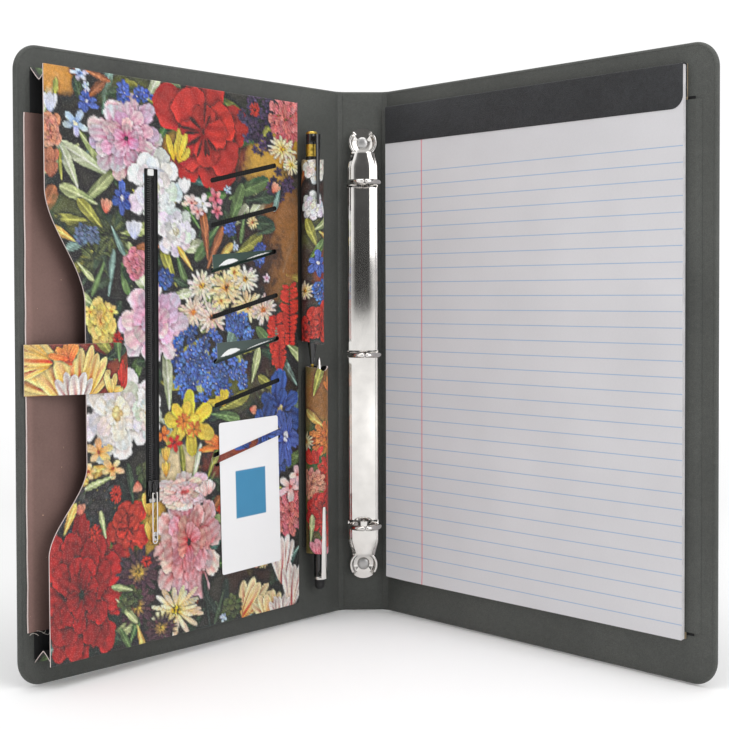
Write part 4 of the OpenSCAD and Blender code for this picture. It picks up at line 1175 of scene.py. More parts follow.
def binding():
    """Cloth strip folded over the head of the pad."""
    z_top = PAD_Z + PAD_H
    a0, a1, zl = PAD_S, PAD_S + PAD_W, 298.0
    pts = [(a0, zl), (a1 - 7.0, zl)]
    for i in range(1, 9):
        t = math.radians(-90 + 90 * i / 8)
        pts.append((a1 - 7.0 + 7.0 * math.cos(t), zl + 7.0 + 7.0 * math.sin(t)))
    pts += [(a1, z_top - 0.4), (a0, z_top - 0.4)]
    front = plate("bind_front", np.array(pts), PAD_F + 0.10, PAD_F + 0.36, 0.12, RIGHT, (M_BINDING,))
    s = np.linspace(a0, a1, 60)
    prof = [(PAD_F + 0.36, z_top - 0.9), (PAD_F + 0.30, z_top - 0.35), (PAD_F + 0.05, z_top - 0.08), (PAD_F - 0.5, z_top), (1.6, z_top), (1.0, z_top - 0.1), (0.80, z_top - 0.6), (0.80, 304.2),
            (1.15, 304.2), (1.20, z_top - 0.7), (PAD_F - 0.6, z_top - 0.35), (PAD_F + 0.02, z_top - 0.6), (PAD_F + 0.1, z_top - 0.9)]
    rings = [[(a + 0 * n, n, z) for n, z in prof] for a in s]
    back = loops("bind_back", rings, RIGHT, (M_BINDING,), sharp=50)
    o = join("pad_cloth_binding", [front, back])
    return put(o, "pad", ("pad_binding",))


binding()
backing = plate("pad_backing_card", rrect(PAD_S, PAD_Z, PAD_W, PAD_H, 0.6, 3), 0.14, 0.70, 0.12, RIGHT, (M_BACKING,))
put(backing, "pad", ("pad_backing",))

# ---------------------------------------------------------------- pocket panel
P_T = 1.2
PZ0, PZ1 = 12.0, 320.5
SLOT_U = [46.8, 46.6, 46.7, 45.7, 44.8, 44.5]
SLOT_Z = [274.5, 248.8, 222.9, 196.4, 170.4, 145.0]
SLOT_L, SLOT_H, SLOT_T = 56.0, 2.3, 13.1
STRAP = (44.8, 113.8)
ZIP_U, ZIP_W, ZIP_0, ZIP_1 = 118.8, 9.8, 88.5, 272.0


def mouth(z):
    z = np.asarray(z, float)
    return 187.8 + 1.9 * (z - PZ0) / 308 - 25.0 * smooth01((258 - z) / 60) * smooth01((z - 68) / 45)


def panel_n(s):
    return 1.8 + (s - 40) * math.tan(TILT)


def cutter(outline, m0=-1.0, m1=2.6):
    rings = [np.stack([outline[:, 0], np.full(len(outline), m), outline[:, 1]], 1) for m in (m0, m1)]
    return loops("cutter", rings, POCKET, (M_BLACKCLOTH_AND_SHADE,), sharp=0)


def panel():
    nu, nz = 226, 372
    z = np.concatenate([[PZ0, PZ0 + 0.3], np.linspace(PZ0 + 0.9, PZ1 - 0.9, nz - 4), [PZ1 - 0.3, PZ1]])
    t = np.concatenate([[0, 0.0016], np.linspace(0.0046, 0.9954, nu - 4), [0.9984, 1.0]])
    Z, Tt = np.meshgrid(z, t, indexing="ij")
    U = mouth(Z) * Tt
    drop = np.zeros_like(U)
    for k, d in ((0, 0.42), (1, 0.1)):
        drop[k, :] = np.maximum(drop[k, :], d); drop[-1 - k, :] = np.maximum(drop[-1 - k, :], d)
        drop[:, k] = np.maximum(drop[:, k], d); drop[:, -1 - k] = np.maximum(drop[:, -1 - k], d)
    soft = 0.06 * np.sin(U / 33.0 + 0.7) * np.sin(Z / 41.0)
    Mf = P_T - 0.04 - drop + soft * (drop < 0.01)
    pts = np.stack([U, Mf, Z], 2).reshape(-1, 3)
    idx = np.arange(len(z) * nu).reshape(len(z), nu)
    rim = list(idx[0, :]) + list(idx[1:, -1]) + list(idx[-1, -2::-1]) + list(idx[-2:0:-1, 0])
    back = {v: len(pts) + i for i, v in enumerate(rim)}
    bp = pts[rim].copy(); bp[:, 1] = 0.03
    pts = np.concatenate([pts, bp])
    a, b, c, d = idx[:-1, :-1].ravel(), idx[:-1, 1:].ravel(), idx[1:, 1:].ravel(), idx[1:, :-1].ravel()
    F = np.stack([a, b, c, d], 1).tolist()
    for i in range(len(rim)):
        p, q = rim[i], rim[(i + 1) % len(rim)]
        F.append((q, p, back[p], back[q]))
    L, R = [back[int(v)] for v in idx[:, 0]], [back[int(v)] for v in idx[:, -1]]
    F.append([back[int(v)] for v in idx[0, ::-1]] + [L[1], R[1]])
    for j in range(1, len(z) - 2):
        F.append([R[j], L[j], L[j + 1], R[j + 1]])
    F.append([back[int(v)] for v in idx[-1, :]] + [R[-2], L[-2]])
    o = make("pocket_floral_panel", pts, F, POCKET, (M_FLORAL, M_RAW, M_BLACKCLOTH_AND_SHADE), sharp=0)
    cuts = [cutter(rrect(SLOT_U[i] - SLOT_L / 2, SLOT_Z[i] - 1.4, SLOT_L, 2.8, 1.36, 6, -SLOT_T)) for i in range(6)]
    cuts.append(cutter(rrect(STRAP[0] - SLOT_L / 2, STRAP[1] - (SLOT_H + 6) / 2, SLOT_L, SLOT_H + 6, SLOT_H / 2, 4, -SLOT_T)))
    cuts.append(cutter(rrect(ZIP_U - ZIP_W / 2, ZIP_0, ZIP_W, ZIP_1 - ZIP_0, 0.8, 3)))
    cut = join("cutter", cuts)
    mod = o.modifiers.new("cut", "BOOLEAN")
    mod.operation, mod.object, mod.solver = "DIFFERENCE", cut, "EXACT"
    dg = bpy.context.evaluated_depsgraph_get()
    me = bpy.data.meshes.new_from_object(o.evaluated_get(dg))
    o.modifiers.clear()
    o.data = me
    bpy.data.objects.remove(cut)
    me.materials.clear()
    for m in (M_FLORAL, M_RAW, M_BLACKCLOTH_AND_SHADE):
        me.materials.append(m)
    loc = mesh_local(o, POCKET)
    nf = len(me.polygons)
    nor, cen = np.empty(nf * 3), np.empty(nf * 3)
    me.polygons.foreach_get("normal", nor); me.polygons.foreach_get("center", cen)
    nm = (nor.reshape(-1, 3) @ POCKET[1])[:, 1]
    cl = (cen.reshape(-1, 3) * 1000 - POCKET[0]) @ POCKET[1]
    near = np.minimum.reduce([cl[:, 0], mouth(cl[:, 2]) - cl[:, 0], cl[:, 2] - PZ0, PZ1 - cl[:, 2]]) < 1.2
    mi = np.where(nm > 0.5, 0, np.where(nm < -0.5, 2, np.where(near, 1, 2)))
    me.polygons.foreach_set("material_index", mi.astype(np.int32))
    me.polygons.foreach_set("use_smooth", np.ones(nf, bool))
    me.set_sharp_from_angle(angle=math.radians(50))
    colour(o, panel_art.sample(loc[:, 0], loc[:, 2]))
    a = me.attributes.new("flat", "FLOAT_VECTOR", "POINT")
    a.data.foreach_set("vector", np.stack([loc[:, 0], loc[:, 2], loc[:, 1]], 1).astype(np.float32).ravel())
    return put(o, "pocket", ("pocket_front",))


panel()


def art_shell(name, top, bot, fr, art, au, az, body, nodes, back=None, sides=None):
    """A printed sheet: art is sampled at (au, az) of each grid point."""
    o = shell(name, top, bot, fr, (M_FLORAL, back or M_FLORAL, sides or M_RAW), sharp=50)
    c = art.sample(np.asarray(au).ravel(), np.asarray(az).ravel())
    colour(o, np.concatenate([c, c]))
    if body:
        put(o, body, nodes)
    return o


def strap():
    L = SLOT_L + 4
    a = np.linspace(-L / 2, L / 2, 110)
    b = np.linspace(-1.9, 1.9, 9)
    B, A = np.meshgrid(b, a, indexing="ij")
    t = math.radians(-SLOT_T)
    U = STRAP[0] + A * math.cos(t) - B * math.sin(t)
    Z = STRAP[1] + A * math.sin(t) + B * math.cos(t)
    raise_ = smooth01((L / 2 - np.abs(A)) / 2.4)
    edge = (1 - (np.abs(B) / 1.9) ** 6) * 0.12
    top = P_T + 0.28 + raise_ * 0.95 + edge
    bot = P_T + 0.02 + raise_ * 0.83
    return art_shell("card_holding_strap", np.stack([U, top, Z], 2), np.stack([U, bot, Z], 2), POCKET, panel_art, U, Z, "pocket", ("card_strap",))


strap()

# ribbed cloth behind the card slots
parts = [plate("backcloth", rrect(12, 34, 70, 256, 2), -1.68, -1.32, 0.1, POCKET, (M_RIBBED,))]
for i in (0, 1, 3, 5):
    parts.append(plate("rib%d" % i, rrect(SLOT_U[i] - 29, SLOT_Z[i] - 3.2, 58, 6.4, 1.0, 3, -SLOT_T), -1.35, -0.10, 0.1, POCKET, (M_RIBBED,)))
o = join("slot_ribbed_backing", parts)
put(o, "pocket", ("card_backing",))


# ---------------------------------------------------------------- cards
def ink_mat(name):
    m, nt, b = new_mat(name)
    v = coords(nt)
    a = N(nt, "ShaderNodeAttribute", attribute_name="print")
    f = noise(nt, v, 1.6, 5.0, 0.7)
    g = noise(nt, v, 0.07, 2.0)
    k = math_(nt, "ADD", math_(nt, "MULTIPLY", f, 0.5), math_(nt, "MULTIPLY", g, 0.5))
    c = mixc(nt, 0.12, a.outputs["Color"], ramp(nt, k, [(0.35, (0.4, 0.4, 0.4)), (0.65, (0.6, 0.6, 0.6))]), "OVERLAY")
    nt.links.new(c, b.inputs["Base Color"])
    nt.links.new(math_(nt, "ADD", math_(nt, "MULTIPLY", f, 0.1), 0.32), b.inputs["Roughness"])
    b.inputs["Specular IOR Level"].default_value = 0.45
    nt.links.new(bump(nt, f, 0.1, 0.02), b.inputs["Normal"])
    return m


M_INK = ink_mat("printed_card")


def slot_card(name, i, du, top, tilt, back, body_col, swoosh, node):
    u0, z0 = SLOT_U[i] + du, SLOT_Z[i]
    t = math.radians(-tilt)
    a = np.linspace(-24.6, 24.6, 124)
    sl = math.tan(math.radians(SLOT_T))
    rows = np.concatenate([np.linspace(0.0, 12.5, 34), np.linspace(12.8, 19.5, 15), np.linspace(22, 87.5, 14)])
    Bv, A = np.meshgrid(rows, a, indexing="ij")
    U = u0 + A * math.cos(t) + Bv * math.sin(t)
    Z = z0 + top + A * math.sin(t) - Bv * math.cos(t)
    line = z0 - (U - SLOT_U[i]) * sl
    f = smooth01((line - Z + 0.9) / 1.8)
    mfront, mback = P_T + 0.10, -back - 0.28
    m = mfront * (1 - f) + mback * f
    col = np.empty(U.shape + (3,))
    col[:] = lin(body_col[0])
    g = np.clip((A + 24.6) / 49.2, 0, 1)[..., None]
    col = col * (1 - g) + lin(body_col[1]) * g
    for c0, c1, dd, r1, r2 in swoosh:
        h = Z - line
        mid, half = (c0 + c1) / 2, (c1 - c0) / 2
        x = (A - mid) / half
        lo = dd + r1 * (x * x)
        hi = dd + r2 * (1 - x * x) + r1
        inside = (np.abs(x) < 1) & (h > lo) & (h < hi)
        col[inside] = lin((238, 240, 238))
    tp = np.stack([U, m + 0.14, Z], 2)
    bt = np.stack([U, m - 0.12, Z], 2)
    o = shell(name, tp, bt, POCKET, (M_INK, M_INK, M_CARD), sharp=50)
    colour(o, np.concatenate([col.reshape(-1, 3)] * 2))
    return put(o, "pocket", (node,))


slot_card("slot_card_green", 2, 1.7, 4.9, 4.6, 0.75, ((44, 62, 54), (60, 80, 72)), [(-24.0, -2.0, 0.2, 0.1, 0.9), (4.0, 20.0, 0.8, 0.6, 2.4)], "slot_card_upper")
slot_card("slot_card_grey", 4, 0.3, 5.7, 2.6, 0.2, ((62, 74, 70), (76, 90, 86)), [(-22.0, 2.0, 0.1, 0.1, 0.8), (6.0, 22.0, 1.0, 0.7, 2.6)], "slot_card_lower")


def calling_card():
    t = math.radians(-1.5)
    u0, zt = STRAP[0] - 0.4, 129.3
    a, b = np.linspace(-24.6, 24.6, 90), np.linspace(0, 88.6, 150)
    Bv, A = np.meshgrid(b, a, indexing="ij")
    # rounded corners
    r = 1.6
    A2, B2 = A.copy(), Bv.copy()
    dx, dy = np.maximum(np.abs(A) - (24.6 - r), 0), np.maximum(np.abs(Bv - 44.3) - (44.3 - r), 0)
    d = np.maximum(np.hypot(dx, dy), 1e-9)
    mx = np.maximum(dx, dy)
    k = np.where((dx > 0) & (dy > 0), mx / d, 1.0)
    A2 = np.sign(A) * (np.minimum(np.abs(A), 24.6 - r) + dx * k)
    B2 = 44.3 + np.sign(Bv - 44.3) * (np.minimum(np.abs(Bv - 44.3), 44.3 - r) + dy * k)
    U = u0 + A2 * math.cos(t) + B2 * math.sin(t)
    Z = zt + A2 * math.sin(t) - B2 * math.cos(t)
    m = P_T + 0.60 + 0.05 * np.cos(A2 / 24.6 * 1.4)
    col = np.empty(U.shape + (3,)); col[:] = lin((240, 240, 241))
    block = (A2 > -12.6) & (A2 < 12.4) & (B2 > 29.5) & (B2 < 57.5)
    col[block] = lin((66, 138, 178))
    tp, bt = np.stack([U, m + 0.13, Z], 2), np.stack([U, m - 0.13, Z], 2)
    o = shell("calling_card_white", tp, bt, POCKET, (M_INK, M_CARD, M_CARD), sharp=50)
    colour(o, np.concatenate([col.reshape(-1, 3)] * 2))
    return put(o, "calling_card", ("business_card",))


calling_card()


# ---------------------------------------------------------------- zip
o = plate("zip_woven_tape", rrect(ZIP_U - 7.5, ZIP_0 - 4, 15, ZIP_1 - ZIP_0 + 8, 1), -0.62, -0.02, 0.1, POCKET, (M_TAPE,))
put(o, "pocket", ("zip_tape",))


def coil():
    """Two rows of moulded teeth that mesh along the middle."""
    V, F = [], []
    pitch = 1.22
    z, i = ZIP_0 + 2.9, 0
    seg = 8
    q = np.linspace(0, 2 * math.pi, seg, endpoint=False)
    while z < ZIP_1 - 4.3:
        sg = 1 if i % 2 else -1
        xs = (sg * 2.35, sg * 2.0, sg * 0.3, -sg * 0.45, -sg * 0.85)
        hs = (0.16, 0.46, 0.55, 0.42, 0.20)
        rs = (0.26, 0.40, 0.42, 0.50, 0.26)
        base = len(V)
        for x, h, r in zip(xs, hs, rs):
            for t in q:
                V.append((ZIP_U + x, h + r * 0.9 * math.sin(t), z + 0.10 * x * sg + r * math.cos(t)))
        for k in range(len(xs) - 1):
            for s in range(seg):
                F.append((base + k * seg + s, base + k * seg + (s + 1) % seg, base + (k + 1) * seg + (s + 1) % seg, base + (k + 1) * seg + s))
        F.append(tuple(base + s for s in range(seg)))
        F.append(tuple(base + (len(xs) - 1) * seg + s for s in range(seg)))
        z += pitch / 2
        i += 1
    return make("coil", V, F, POCKET, (M_COIL,), sharp=60)


cords = []
for sg in (-1, 1):
    zz = np.linspace(ZIP_0 + 0.5, ZIP_1 - 0.5, 260)
    cords.append(tube("cord", np.stack([np.full(260, ZIP_U + sg * 3.0), 0.10 + 0.06 * np.sin(zz * 4.6), zz], 1), 0.26, POCKET, (M_TAPE,), seg=6))
o = join("zip_coil_teeth", [coil()] + cords)
put(o, "pocket", ("zip_teeth",))
st1 = plate("stop_top", rrect(ZIP_U - 2.1, ZIP_1 - 3.9, 4.2, 3.7, 0.7, 4), 0.02, 1.32, 0.4, POCKET, (M_WHITEPL,))
st2 = plate("stop_low", rrect(ZIP_U - 2.1, ZIP_0 + 0.2, 4.2, 2.2, 0.6, 4), 0.02, 1.2, 0.35, POCKET, (M_WHITEPL,))
put(join("zip_end_stops", [st1, st2]), "pocket", ("zip_stops",))
o = plate("zip_pouch_cloth", rrect(96, 66, 62, 216, 3), -1.2, -0.8, 0.12, POCKET, (M_BLACKCLOTH_AND_SHADE,))
put(o, "pocket", ("zip_pouch",))


def slider():
    z0 = ZIP_0 + 3
    t = np.linspace(0, 1, 24)
    half = 2.5 + 1.15 * smooth01((t - 0.1) / 0.8)
    left = [(ZIP_U - h, z0 + 9.5 * k) for h, k in zip(half, t)]
    right = [(ZIP_U + h, z0 + 9.5 * k) for h, k in zip(half, t)]
    body = plate("b", np.array(right + left[::-1]), 1.22, 1.98, 0.3, POCKET, (M_SLIDER,))
    parts = [body]
    for sg in (-1, 1):
        parts.append(plate("f", rrect(ZIP_U + sg * 2.95 - 0.55, z0 + 0.9, 1.1, 7.8, 0.4), 0.30, 1.35, 0.2, POCKET, (M_SLIDER,)))
    path = []
    for k in np.linspace(0, math.pi, 22):
        path.append((ZIP_U, 1.9 + 1.75 * math.sin(k) ** 0.75, z0 + 4.9 - 3.6 * math.cos(k)))
    parts.append(tube("c", path, 0.42, POCKET, (M_SLIDER,), seg=10))
    o = join("zip_slider_body", parts)
    return put(o, "slider", ("zip_slider",))


slider()


def puller():
    zp = ZIP_0 + 3 + 2.6
    # a slim loop: two arms from the pin down to a rounded foot
    pts = []
    for z in np.linspace(zp + 0.35, zp - 26.0, 30):
        pts.append((-1.55 - 0.10 * math.sin((zp - z) / 26 * math.pi), z))
    for k in np.linspace(math.pi, 2 * math.pi, 14)[1:-1]:
        pts.append((1.55 * math.cos(k), zp - 26.0 + 1.75 * math.sin(k)))
    for z in np.linspace(zp - 26.0, zp + 0.35, 30):
        pts.append((1.55 + 0.10 * math.sin((zp - z) / 26 * math.pi), z))
    bow = lambda z: 0.0
    path = [(ZIP_U + a, 3.0 + bow(z), z) for a, z in pts]
    loop = tube("l", path, 0.5, POCKET, (M_CHROME,), seg=14)
    pin = tube("p", [(ZIP_U - 1.75, 3.0, zp), (ZIP_U - 0.5, 3.0, zp), (ZIP_U + 0.5, 3.0, zp), (ZIP_U + 1.75, 3.0, zp)], 0.42, POCKET, (M_CHROME,), seg=12)
    grip = plate("g", rrect(ZIP_U - 1.35, zp - 26.4, 2.7, 5.0, 1.2, 5), 2.72, 3.28, 0.2, POCKET, (M_CHROME,))
    o = join("zip_puller_loop", [loop, pin, grip])
    return put(o, "puller", ("zip_puller",))


puller()

# ---------------------------------------------------------------- closing tab
TZ0, TZ1 = 151.0, 177.5
tab_art = Canvas(170, 262, 146, 184, 0.3, ((120, 52, 30), (60, 34, 24)), 23)
for it in (("wash", 205, 165, 40, 22, 0, "rust"), ("leaf", 190, 176, 9, 10, 40, "oliveleaf"), ("leaf", 184, 172, 9, 9, -60, "darkleaf"), ("leaf", 194, 170, 8, 9, 80, "darkleaf"), ("leaf", 182, 176, 8, 9, 10, "midleaf"),
           ("tulip", 226, 160, 19, 21, 62, "tulipstripe"), ("tulip", 214, 158, 16, 19, 20, "tulipstripe"), ("tulip", 232, 170, 13, 15, 80, "tulipstripe"), ("tulip", 200, 160, 13, 17, -28, "tulipstripe"),
           ("petals", 212, 172, 9, 8, 30, "orange"), ("tulip", 209, 152, 12, 12, 0, "tulipwhite"), ("petals", 186, 156, 8, 9, -40, "tulipstripe"), ("petals", 179, 160, 5, 12, 0, "scarlet")):
    tab_art.flower(*it)
tab_art.finish()


def tab_path():
    """Middle line of the tab in (s, n), smooth, from its sewn end to its free end."""
    ctl = np.array([(235.1, 1.55), (226.0, 5.1), (212.0, 10.6), (206.6, 12.65), (204.4, 12.95), (196.0, 12.5), (186.0, 11.95), (177.2, 11.45)])
    d = np.concatenate([[0], np.cumsum(np.linalg.norm(np.diff(ctl, axis=0), axis=1))])
    q = np.linspace(0, d[-1], 118)
    s, n = np.interp(q, d, ctl[:, 0]), np.interp(q, d, ctl[:, 1])
    k = np.ones(7) / 7
    pad = lambda a: np.concatenate([np.full(3, a[0]) + (np.arange(3) - 3) * (a[1] - a[0]), a, a[-1] + (np.arange(3) + 1) * (a[-1] - a[-2])])
    return q, np.convolve(pad(s), k, "valid"), np.convolve(pad(n), k, "valid")


def tab():
    q, s, n = tab_path()
    T = np.stack([np.gradient(s), np.gradient(n)], 1)
    T /= np.linalg.norm(T, axis=1)[:, None]
    Nn = np.stack([T[:, 1], -T[:, 0]], 1)   # away from the panel
    d = q[-1] - q
    r = 6.0
    cut = np.where(d < r, r - np.sqrt(np.maximum(r * r - (r - d) ** 2, 0)), 0)
    f = np.linspace(0, 1, 50)
    rows_t, rows_b, au, az = [], [], [], []
    for k in f:
        z = TZ0 + cut + (TZ1 - TZ0 - 2 * cut) * k
        e = min(k, 1 - k)
        soft = 0.35 * (1 - smooth01(e / 0.03)) + 0.3 * (1 - smooth01(d / 0.9))
        crown = 0.12 * math.sin(math.pi * k)
        rows_t.append(np.stack([s + Nn[:, 0] * (0.62 + crown - soft), n + Nn[:, 1] * (0.62 + crown - soft), z], 1))
        rows_b.append(np.stack([s - Nn[:, 0] * 0.62, n - Nn[:, 1] * 0.62, z], 1))
        au.append(235 - q); az.append(z)
    return art_shell("closing_tab_floral", rows_t, rows_b, LEFT, tab_art, np.array(au), np.array(az), "tab", ("closing_tab",), back=M_BLACKCLOTH_AND_SHADE)


tab()
s, z = np.linspace(206, 234, 40), np.linspace(151, 177.5, 36)
Z, S = np.meshgrid(z, s, indexing="ij")
art_shell("tab_sewn_base", np.stack([S, 0.44 + 0 * S, Z], 2), np.stack([S, 0.04 + 0 * S, Z], 2), LEFT, tab_art, S, Z, "left_cover", ("tab_base",))

# magnets: a thin disc sewn under the panel and one in the tab's free end
o = lathe("panel_magnet_disc", [(0.5, 0), (4.9, 0), (5.0, 0.1), (5.0, 0.62), (4.9, 0.7), (0.5, 0.7)], 0, 0, SPINE, (M_STEEL,), seg=32)
rot = Matrix(((1, 0, 0), (0, 1, 0), (0, 0, 1)))
loc = mesh_local(o, (np.zeros(3), np.eye(3)))
disc = np.stack([145 + loc[:, 0], -0.74 + loc[:, 2], 164.25 - loc[:, 1]], 1)
o.data.vertices.foreach_set("co", world(POCKET, disc).ravel())
o.data.update()
put(o, "pocket", ("panel_magnet",))
o2 = o.copy(); o2.data = o.data.copy(); o2.name = "tab_magnet_disc"; link(o2)
o2.parent = None
for k in list(o2.keys()):
    del o2[k]
disc2 = disc.copy(); disc2[:, 1] += 0.74 + P_T + 0.31; disc2[:, 1] = P_T + 0.31 + (disc2[:, 1] - P_T - 0.31) * 0.75
o2.data.vertices.foreach_set("co", world(POCKET, disc2).ravel())
o2.data.update()
put(o2, "tab", ("tab_magnet",))


# ---------------------------------------------------------------- pen loops
LOOP_N, LOOP_R = 7.3, 6.2
UP_S, LOW_S, UPEN_S, LPEN_S = 31.8, 28.6, 32.4, 26.6
up_art = Canvas(-24, 24, 166, 292, 0.35, ((40, 34, 34), (96, 72, 62)), 31)
for it in (("wash", -4, 281, 9, 7, 0, "cream"), ("wash", 4, 270, 16, 8, 0, "umber"), ("wash", 2, 240, 16, 12, 0, "olive"), ("wash", 6, 214, 10, 16, 0, "rust"),
           ("leaf", -12, 276, 7, 9, 30, "rustleaf"), ("bloom", -3, 280, 9, 9, 0, "ivory"), ("petals", 5, 256, 8, 9, 20, "white"), ("bloom", -5, 257, 8, 9, 0, "white"), ("leaf", 3, 246, 8, 9, 60, "stripeleaf"),
           ("leaf", -6, 240, 8, 10, -30, "oliveleaf"), ("leaf", 7, 238, 7, 9, 110, "amberleaf"), ("leaf", -2, 230, 8, 9, 40, "midleaf"), ("iris", -2, 222, 9, 9, 0, "cornflower"), ("leaf", 8, 220, 7, 9, -20, "darkleaf"),
           ("cluster", 1, 206, 9, 9, 0, "blue"), ("floret", 9, 210, 5, 5, 0, "blush"), ("poppy", 1, 186, 12, 13, 0, "scarlet"), ("rose", 9, 192, 6, 7, 0, "pinkred"), ("poppy", -12, 180, 8, 9, 0, "red"), ("daisy", -11, 205, 6, 6, 0, "yellowwhite")):
    up_art.flower(*it)
up_art.finish()
low_art = Canvas(-24, 24, 36, 164, 0.35, ((92, 78, 36), (156, 132, 66)), 37)
for it in (("wash", 0, 140, 18, 16, 0, "ochre"), ("wash", -4, 110, 14, 14, 0, "olive"), ("wash", 6, 84, 12, 14, 0, "gold"), ("leaf", -5, 150, 7, 10, 20, "oliveleaf"), ("petals", 6, 148, 7, 8, 0, "orange"),
           ("leaf", 8, 128, 6, 10, 20, "paleleaf"), ("leaf", -7, 126, 7, 9, -50, "amberleaf"), ("carnation", 2, 114, 13, 11, 0, "orange"), ("petals", -6, 104, 7, 8, -20, "scarlet"), ("leaf", 7, 100, 7, 9, 70, "bluegreen"),
           ("carnation", 5, 93, 12, 11, 0, "scarlet"), ("carnation", -9, 86, 10, 10, 20, "coral"), ("peony", 1, 68, 16, 15, 0, "red"), ("leaf", -9, 58, 5, 9, 12, "stripeleaf"), ("petals", 6, 50, 11, 9, 0, "scarlet"),
           ("petals", -4, 45, 11, 8, 30, "rosered"), ("daisy", -14, 112, 6, 6, 0, "creamyellow"), ("poppy", 14, 70, 8, 9, 0, "scarlet")):
    low_art.flower(*it)
low_art.finish()


def pen_loop(name, sc, z0, z1, art, wav0, wav1, node):
    """Leather sleeve sewn down along its back, with hand-cut wavy ends."""
    nt_, nz = 88, 190
    t = np.linspace(-0.5 * math.pi, 1.5 * math.pi, nt_, endpoint=False)
    k = np.linspace(0, 1, nz)
    lo = z0 + wav0(t)
    hi = z1 - wav1(t)
    Z = lo[None, :] * (1 - k[:, None]) + hi[None, :] * k[:, None]
    flare = 0.10 * (np.exp(-k * 30) + np.exp(-(1 - k) * 30))[:, None]
    dent = 0.10 * np.sin(Z / 9.0 + t[None, :]) * np.sin(Z / 23.0)
    ro = LOOP_R + 0.68 + flare + dent * 0.5
    ri = LOOP_R + 0.05
    rings = []

    def pts(r, Zr):
        return np.stack([sc + r * np.cos(t), np.maximum(LOOP_N + r * np.sin(t), 0.55), Zr], 1)
    idx = []
    for i in range(nz):
        rings.append(pts(ro[i], Z[i])); idx.append(0)
    idx[-1] = 1
    inner = [0, 30, 60, 95, 130, 160, nz - 1]
    for i in inner[::-1]:
        rings.append(pts(np.full(nt_, ri), Z[i])); idx.append(2)
    idx[-1] = 1
    o = loops(name, rings, LEFT, (M_FLORAL, M_RAW, M_BLACKCLOTH_AND_SHADE), ring_mat=idx, closed=True, sharp=50)
    loc = mesh_local(o, LEFT)
    ang = np.arctan2(loc[:, 1] - LOOP_N, loc[:, 0] - sc)
    a = 7.0 * ((ang - math.pi / 2 + math.pi) % (2 * math.pi) - math.pi)
    colour(o, art.sample(a, loc[:, 2]))
    # sewn flange behind the loop
    fl = plate("fl", rrect(sc - 6.3, z0 + 3.5, 12.6, z1 - z0 - 7, 0.8), 0.02, 0.74, 0.12, LEFT, (M_RIM,))
    o = join(name, [o, fl])
    return put(o, "left_cover", (node,))


# t = 0 faces the free edge, t = pi the spine
pen_loop("pen_loop_upper_floral", UP_S, 171.5, 286.0, up_art,
         lambda t: 0.3 + 2.3 * (0.5 - 0.5 * np.cos(t - 2.6)) ** 1.2 + 0.25 * np.sin(3 * t + 1), lambda t: 0.3 + 0.5 * (0.5 + 0.5 * np.sin(2 * t)) + 0.2 * np.sin(5 * t), "pen_loop_upper")
pen_loop("pen_loop_lower_floral", LOW_S, 42.0, 158.5, low_art,
         lambda t: 0.3 + 0.6 * (0.5 + 0.5 * np.sin(2 * t + 1)), lambda t: 0.3 + 2.6 * np.exp(-((((t - 1.45) + math.pi) % (2 * math.pi) - math.pi) / 0.5) ** 2) + 0.25 * np.sin(4 * t), "pen_loop_lower")


# ---------------------------------------------------------------- pens
def clip(name, sc, z0, z1, zb, w, turn, mat, body, node, taper=0.55):
    """Sprung clip: a bowed blade with a rolled foot and a block at its root."""
    q = np.linspace(0, 1, 40)
    root_low = zb < (z0 + z1) / 2
    rings = []
    for k in q:
        z = z0 + (z1 - z0) * k
        f = k if root_low else 1 - k          # 0 at the root, 1 at the free end
        ww = w * (1 - (1 - taper) * f) * (1 if f < 0.985 else 0.8)
        nn = 8.15 - 0.16 * math.sin(math.pi * f) * 1.0 + (0.12 if f > 0.93 else 0)
        th = 0.78 if f < 0.9 else 0.7
        row = []
        for a, b in ((-1, -0.3), (-0.92, -0.8), (-0.6, -1), (0.6, -1), (0.92, -0.8), (1, -0.3), (1, 0.2), (0.85, 0.75), (0.45, 1.0), (0, 1.06), (-0.45, 1.0), (-0.85, 0.75), (-1, 0.2)):
            row.append((a * ww / 2, nn + b * th / 2, z))
        rings.append(row)
    R = np.array(rings)
    th = math.radians(turn)

    def place(P):
        x, n = P[..., 0], P[..., 1]
        return np.stack([sc + x * math.cos(th) + n * math.sin(th), LOOP_N + n * math.cos(th) - x * math.sin(th), P[..., 2]], -1)
    a = loops("a", place(R), LEFT, (mat,), sharp=45)
    blk = []
    for n, ww in ((2.9, w * 0.52), (5.2, w * 0.46), (7.4, w * 0.5), (7.95, w * 0.5)):
        r = rrect(-ww, zb + 0.2, 2 * ww, 3.2, 0.6, 4)
        blk.append([(x, n, z) for x, z in r])
    b = loops("b", place(np.array(blk)), LEFT, (mat,), sharp=45)
    o = join(name, [a, b])
    return put(o, body, (node,))


